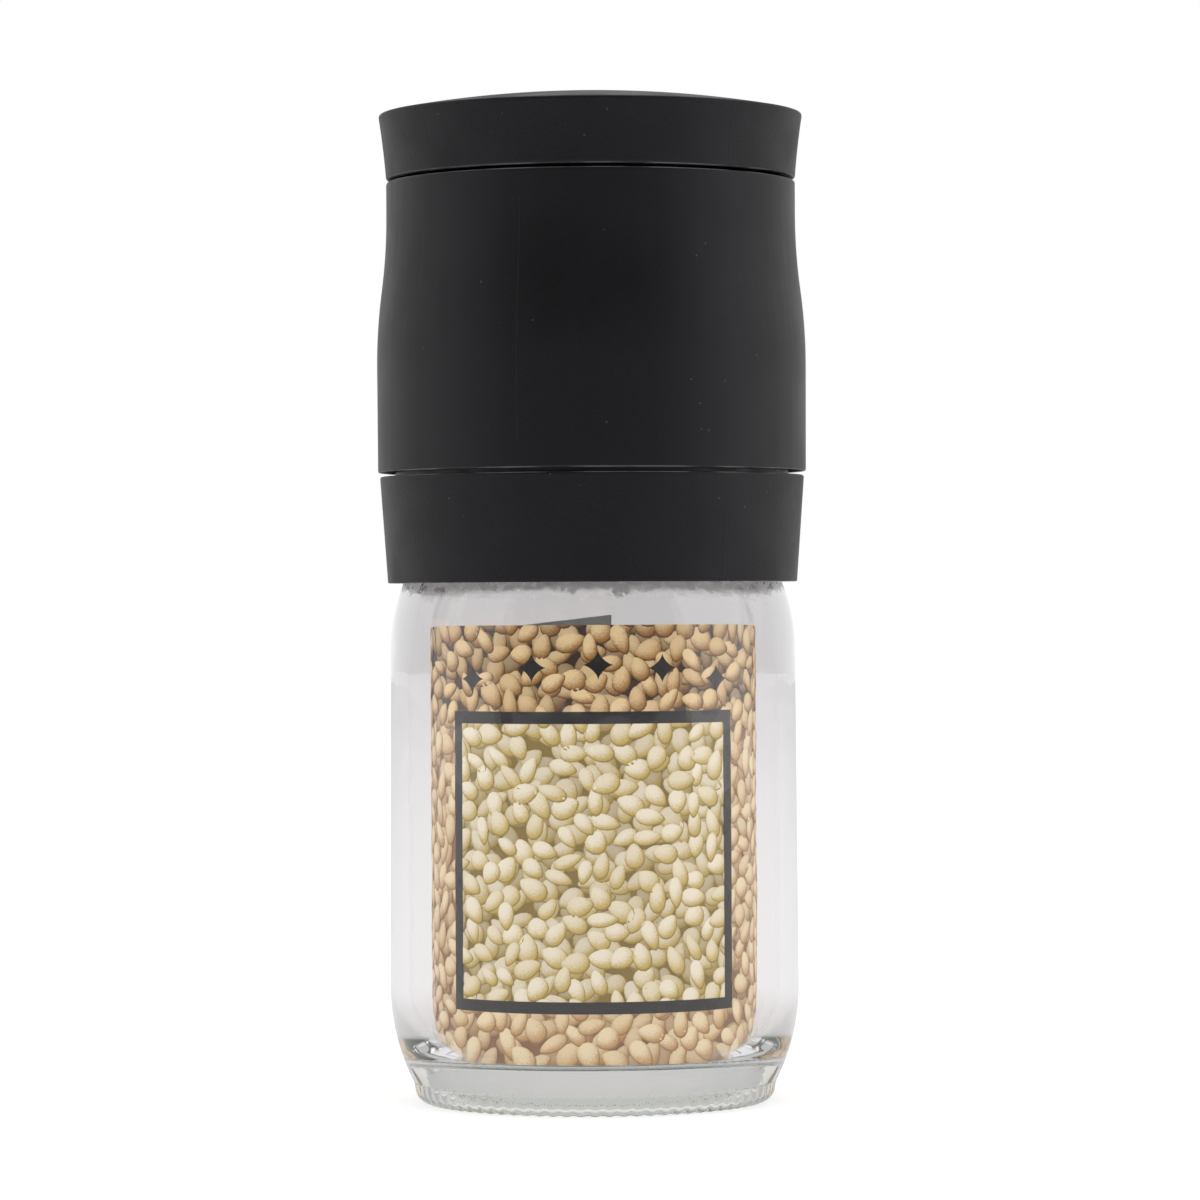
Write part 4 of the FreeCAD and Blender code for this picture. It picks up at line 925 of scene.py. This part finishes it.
# Burrs: unglazed white ceramic, pressed, fired and ground. The cone is keyed on the shaft, and the ring turns
# round it with the grip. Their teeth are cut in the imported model's own solids.
white_ceramic, nodes = new_material("white_ceramic")
place = on_object(nodes)
specks = nodes.span(noise(nodes, place, 0.5, 4.0), 0.62, 0.72)
chalky = nodes.mix(noise(nodes, place, 3.0, 3.0), (0.74, 0.72, 0.67, 1), (0.86, 0.85, 0.82, 1))
pitted = nodes.add("ShaderNodeBump", Strength=0.5, Distance=0.04 * MM, Height=noise(nodes, place, 0.3))
ceramic = nodes.add(
    "ShaderNodeBsdfPrincipled",
    Base_Color=nodes.mix(nodes.math("MULTIPLY", specks, 0.35), chalky, (0.55, 0.5, 0.42, 1)),
    Roughness=nodes.span(noise(nodes, place, 1.5), 0.3, 0.7, 0.5, 0.7),
    Normal=pitted.outputs[0],
)
nodes.add("ShaderNodeOutputMaterial", ceramic.outputs[0])
repaint("inner_burr", white_ceramic)
repaint("outer_burr", white_ceramic)

# Grind adjuster: a fluted knob of satin black plastic, moulded with a blind threaded bore and screwed on the
# shaft's end above the cone.
knob_low = 121.0
knob_high = 131.0
knob_neck = 7.2
knob_radius = 8.0
fluted_low = 123.9
bore_top = 129.6
bore_step = 125.3
thread_bore = 2.05
square_room = 3.3
knob_outline = [
    (0, bore_top), (thread_bore, bore_top), (thread_bore, bore_step), (square_room, bore_step),
    (square_room, knob_low), (knob_neck, knob_low), (knob_neck, fluted_low), (knob_radius, fluted_low),
    (knob_radius, 130.2, 0, 0.3), (knob_neck, knob_high, 0, 0.4), (4.6, knob_high), (4.2, 130.6), (0, 130.6),
]
knob = turned("grind_adjuster", knob_outline, inner_plastic, around=192, step=1.0)
apply_tree(
    knob, flutes, count=12.0, depth=0.75, rise=0.0, low=124.0, high=140.0, fade=0.3, inner=6.9, outer=9.0
)
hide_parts("grind_adjuster")
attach(knob, "adjuster")

# Burr holder: the grip's inner sleeve, moulded in satin black plastic with the funnel, the pocket for the
# burr ring and the outlet. Three screws hold its flange in the grip.
funnel_low = 95.65
funnel_bore = 22.2
funnel_radius = 23.6
pocket_low = 107.6
pocket_radius = 17.75
throat_radius = 12.43
flange_low = 128.0
flange_high = 130.2
flange_radius = 28.03
outlet_radius = 22.6
outlet_bore = 21.0
outlet_high = 135.35
holder_outline = [
    (throat_radius, 106.4), (funnel_bore, 101.05), (funnel_bore, funnel_low), (funnel_radius, funnel_low),
    (funnel_radius, 101.85), (19.8, 104.69), (19.8, flange_low), (flange_radius, flange_low),
    (flange_radius, flange_high), (outlet_radius, flange_high), (outlet_radius, outlet_high),
    (outlet_bore, outlet_high), (outlet_bore, 131.65), (pocket_radius, 128.4), (pocket_radius, pocket_low),
    (throat_radius, pocket_low),
]
holder = turned("burr_holder", holder_outline, inner_plastic, around=192)
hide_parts("burr_holder")
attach(holder, "grip")

# Grip: the black sleeve that the hand cranks, moulded smooth, with a belly low down and a waist under the
# cap. Handling has left it satin, with fine upright streaks, dust and the mould's line down its front.
grip_low = 92.4
grip_high = 134.9
belly_high = 108.0
bend_middle = 119.0
waist_low = 130.0
waist_radius = 30.03
rim_bore = 28.33
boss_bore = 23.93
boss_low = 125.8
web_low = 93.15
web_high = 96.15
web_bore = 26.3
swell = 82.7
grip_plastic = black_plastic(
    "black_satin_grip", 0.25, 0.01, 0.46, 250.6, (96, 131), (grip_low, grip_high), streaks=0.6
)
grip_outline = [
    (29.73, grip_low), (31.43, grip_low, 0, edge_round), (31.5, belly_high, swell),
    (30.765, bend_middle, -swell), (waist_radius, waist_low), (waist_radius, grip_high, 0, edge_round),
    (rim_bore, grip_high), (rim_bore, flange_low), (boss_bore, flange_low), (boss_bore, boss_low),
    (rim_bore, boss_low), (29.065, bend_middle), (29.8, belly_high), (29.8, web_high), (web_bore, web_high),
    (web_bore, web_low), (29.73, web_low),
]
grip = turned("grip_body", grip_outline, grip_plastic, around=240)
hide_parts("grip_body")
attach(grip, "grip")

# Cap: black moulded plastic with the collar's grain. Its side flares to a rim under a shallow dome, and a
# plug inside grips the outlet, with six ribs that rest on the outlet's rim.
cap_low = 135.4
cap_ceiling = 144.0
cap_high = 147.8
cap_bore = 28.43
cap_flare = 120.0
cap_dome = 162.8
plug_low = 132.0
plug_radius = 20.7
plug_bore = 19.4
cap_plastic = black_plastic("black_grained_cap", 0.3, 0.05, 0.52, 311.0, (135.6, 144.2), (cap_low,))
cap_outline = [
    (0, 146.2), (plug_bore, cap_ceiling), (plug_bore, plug_low), (plug_radius, plug_low),
    (plug_radius, cap_ceiling), (cap_bore, cap_ceiling), (cap_bore, cap_low),
    (30.03, cap_low, -cap_flare, edge_round), (31.13, 144.8, cap_dome, 0.4), (0, cap_high),
]
cap = turned("cap", cap_outline, cap_plastic, around=240)
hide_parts("cap")
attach(cap, "cap")

rib_count = 6
rib_box = ((20.1, 28.9), (-0.55, 0.55), (cap_low, 144.05))
rib_corners = [(x, y, z) for x in rib_box[0] for y in rib_box[1] for z in rib_box[2]]
rib_faces = [(0, 1, 3, 2), (4, 6, 7, 5), (0, 4, 5, 1), (2, 3, 7, 6), (0, 2, 6, 4), (1, 5, 7, 3)]
ring_of, nodes, given = shape_tree("ring_of", ("count", "first"))
points = nodes.add("GeometryNodePoints", Count=given["count"])
order = nodes.add("GeometryNodeInputIndex").outputs[0]
turn = nodes.math("ADD", nodes.math("DIVIDE", order, given["count"]), given["first"])
spin = nodes.add("ShaderNodeCombineXYZ", 0.0, 0.0, nodes.math("MULTIPLY", turn, 2 * math.pi)).outputs[0]
copies = nodes.add("GeometryNodeInstanceOnPoints", points.outputs[0], Instance=given["Mesh"], Rotation=spin)
finish_tree(nodes, given, copies.outputs[0])
ribs = new_piece("cap_ribs", rib_corners, rib_faces, cap_plastic)
apply_tree(ribs, ring_of, count=float(rib_count), first=0.5 / rib_count)
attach(ribs, "cap")
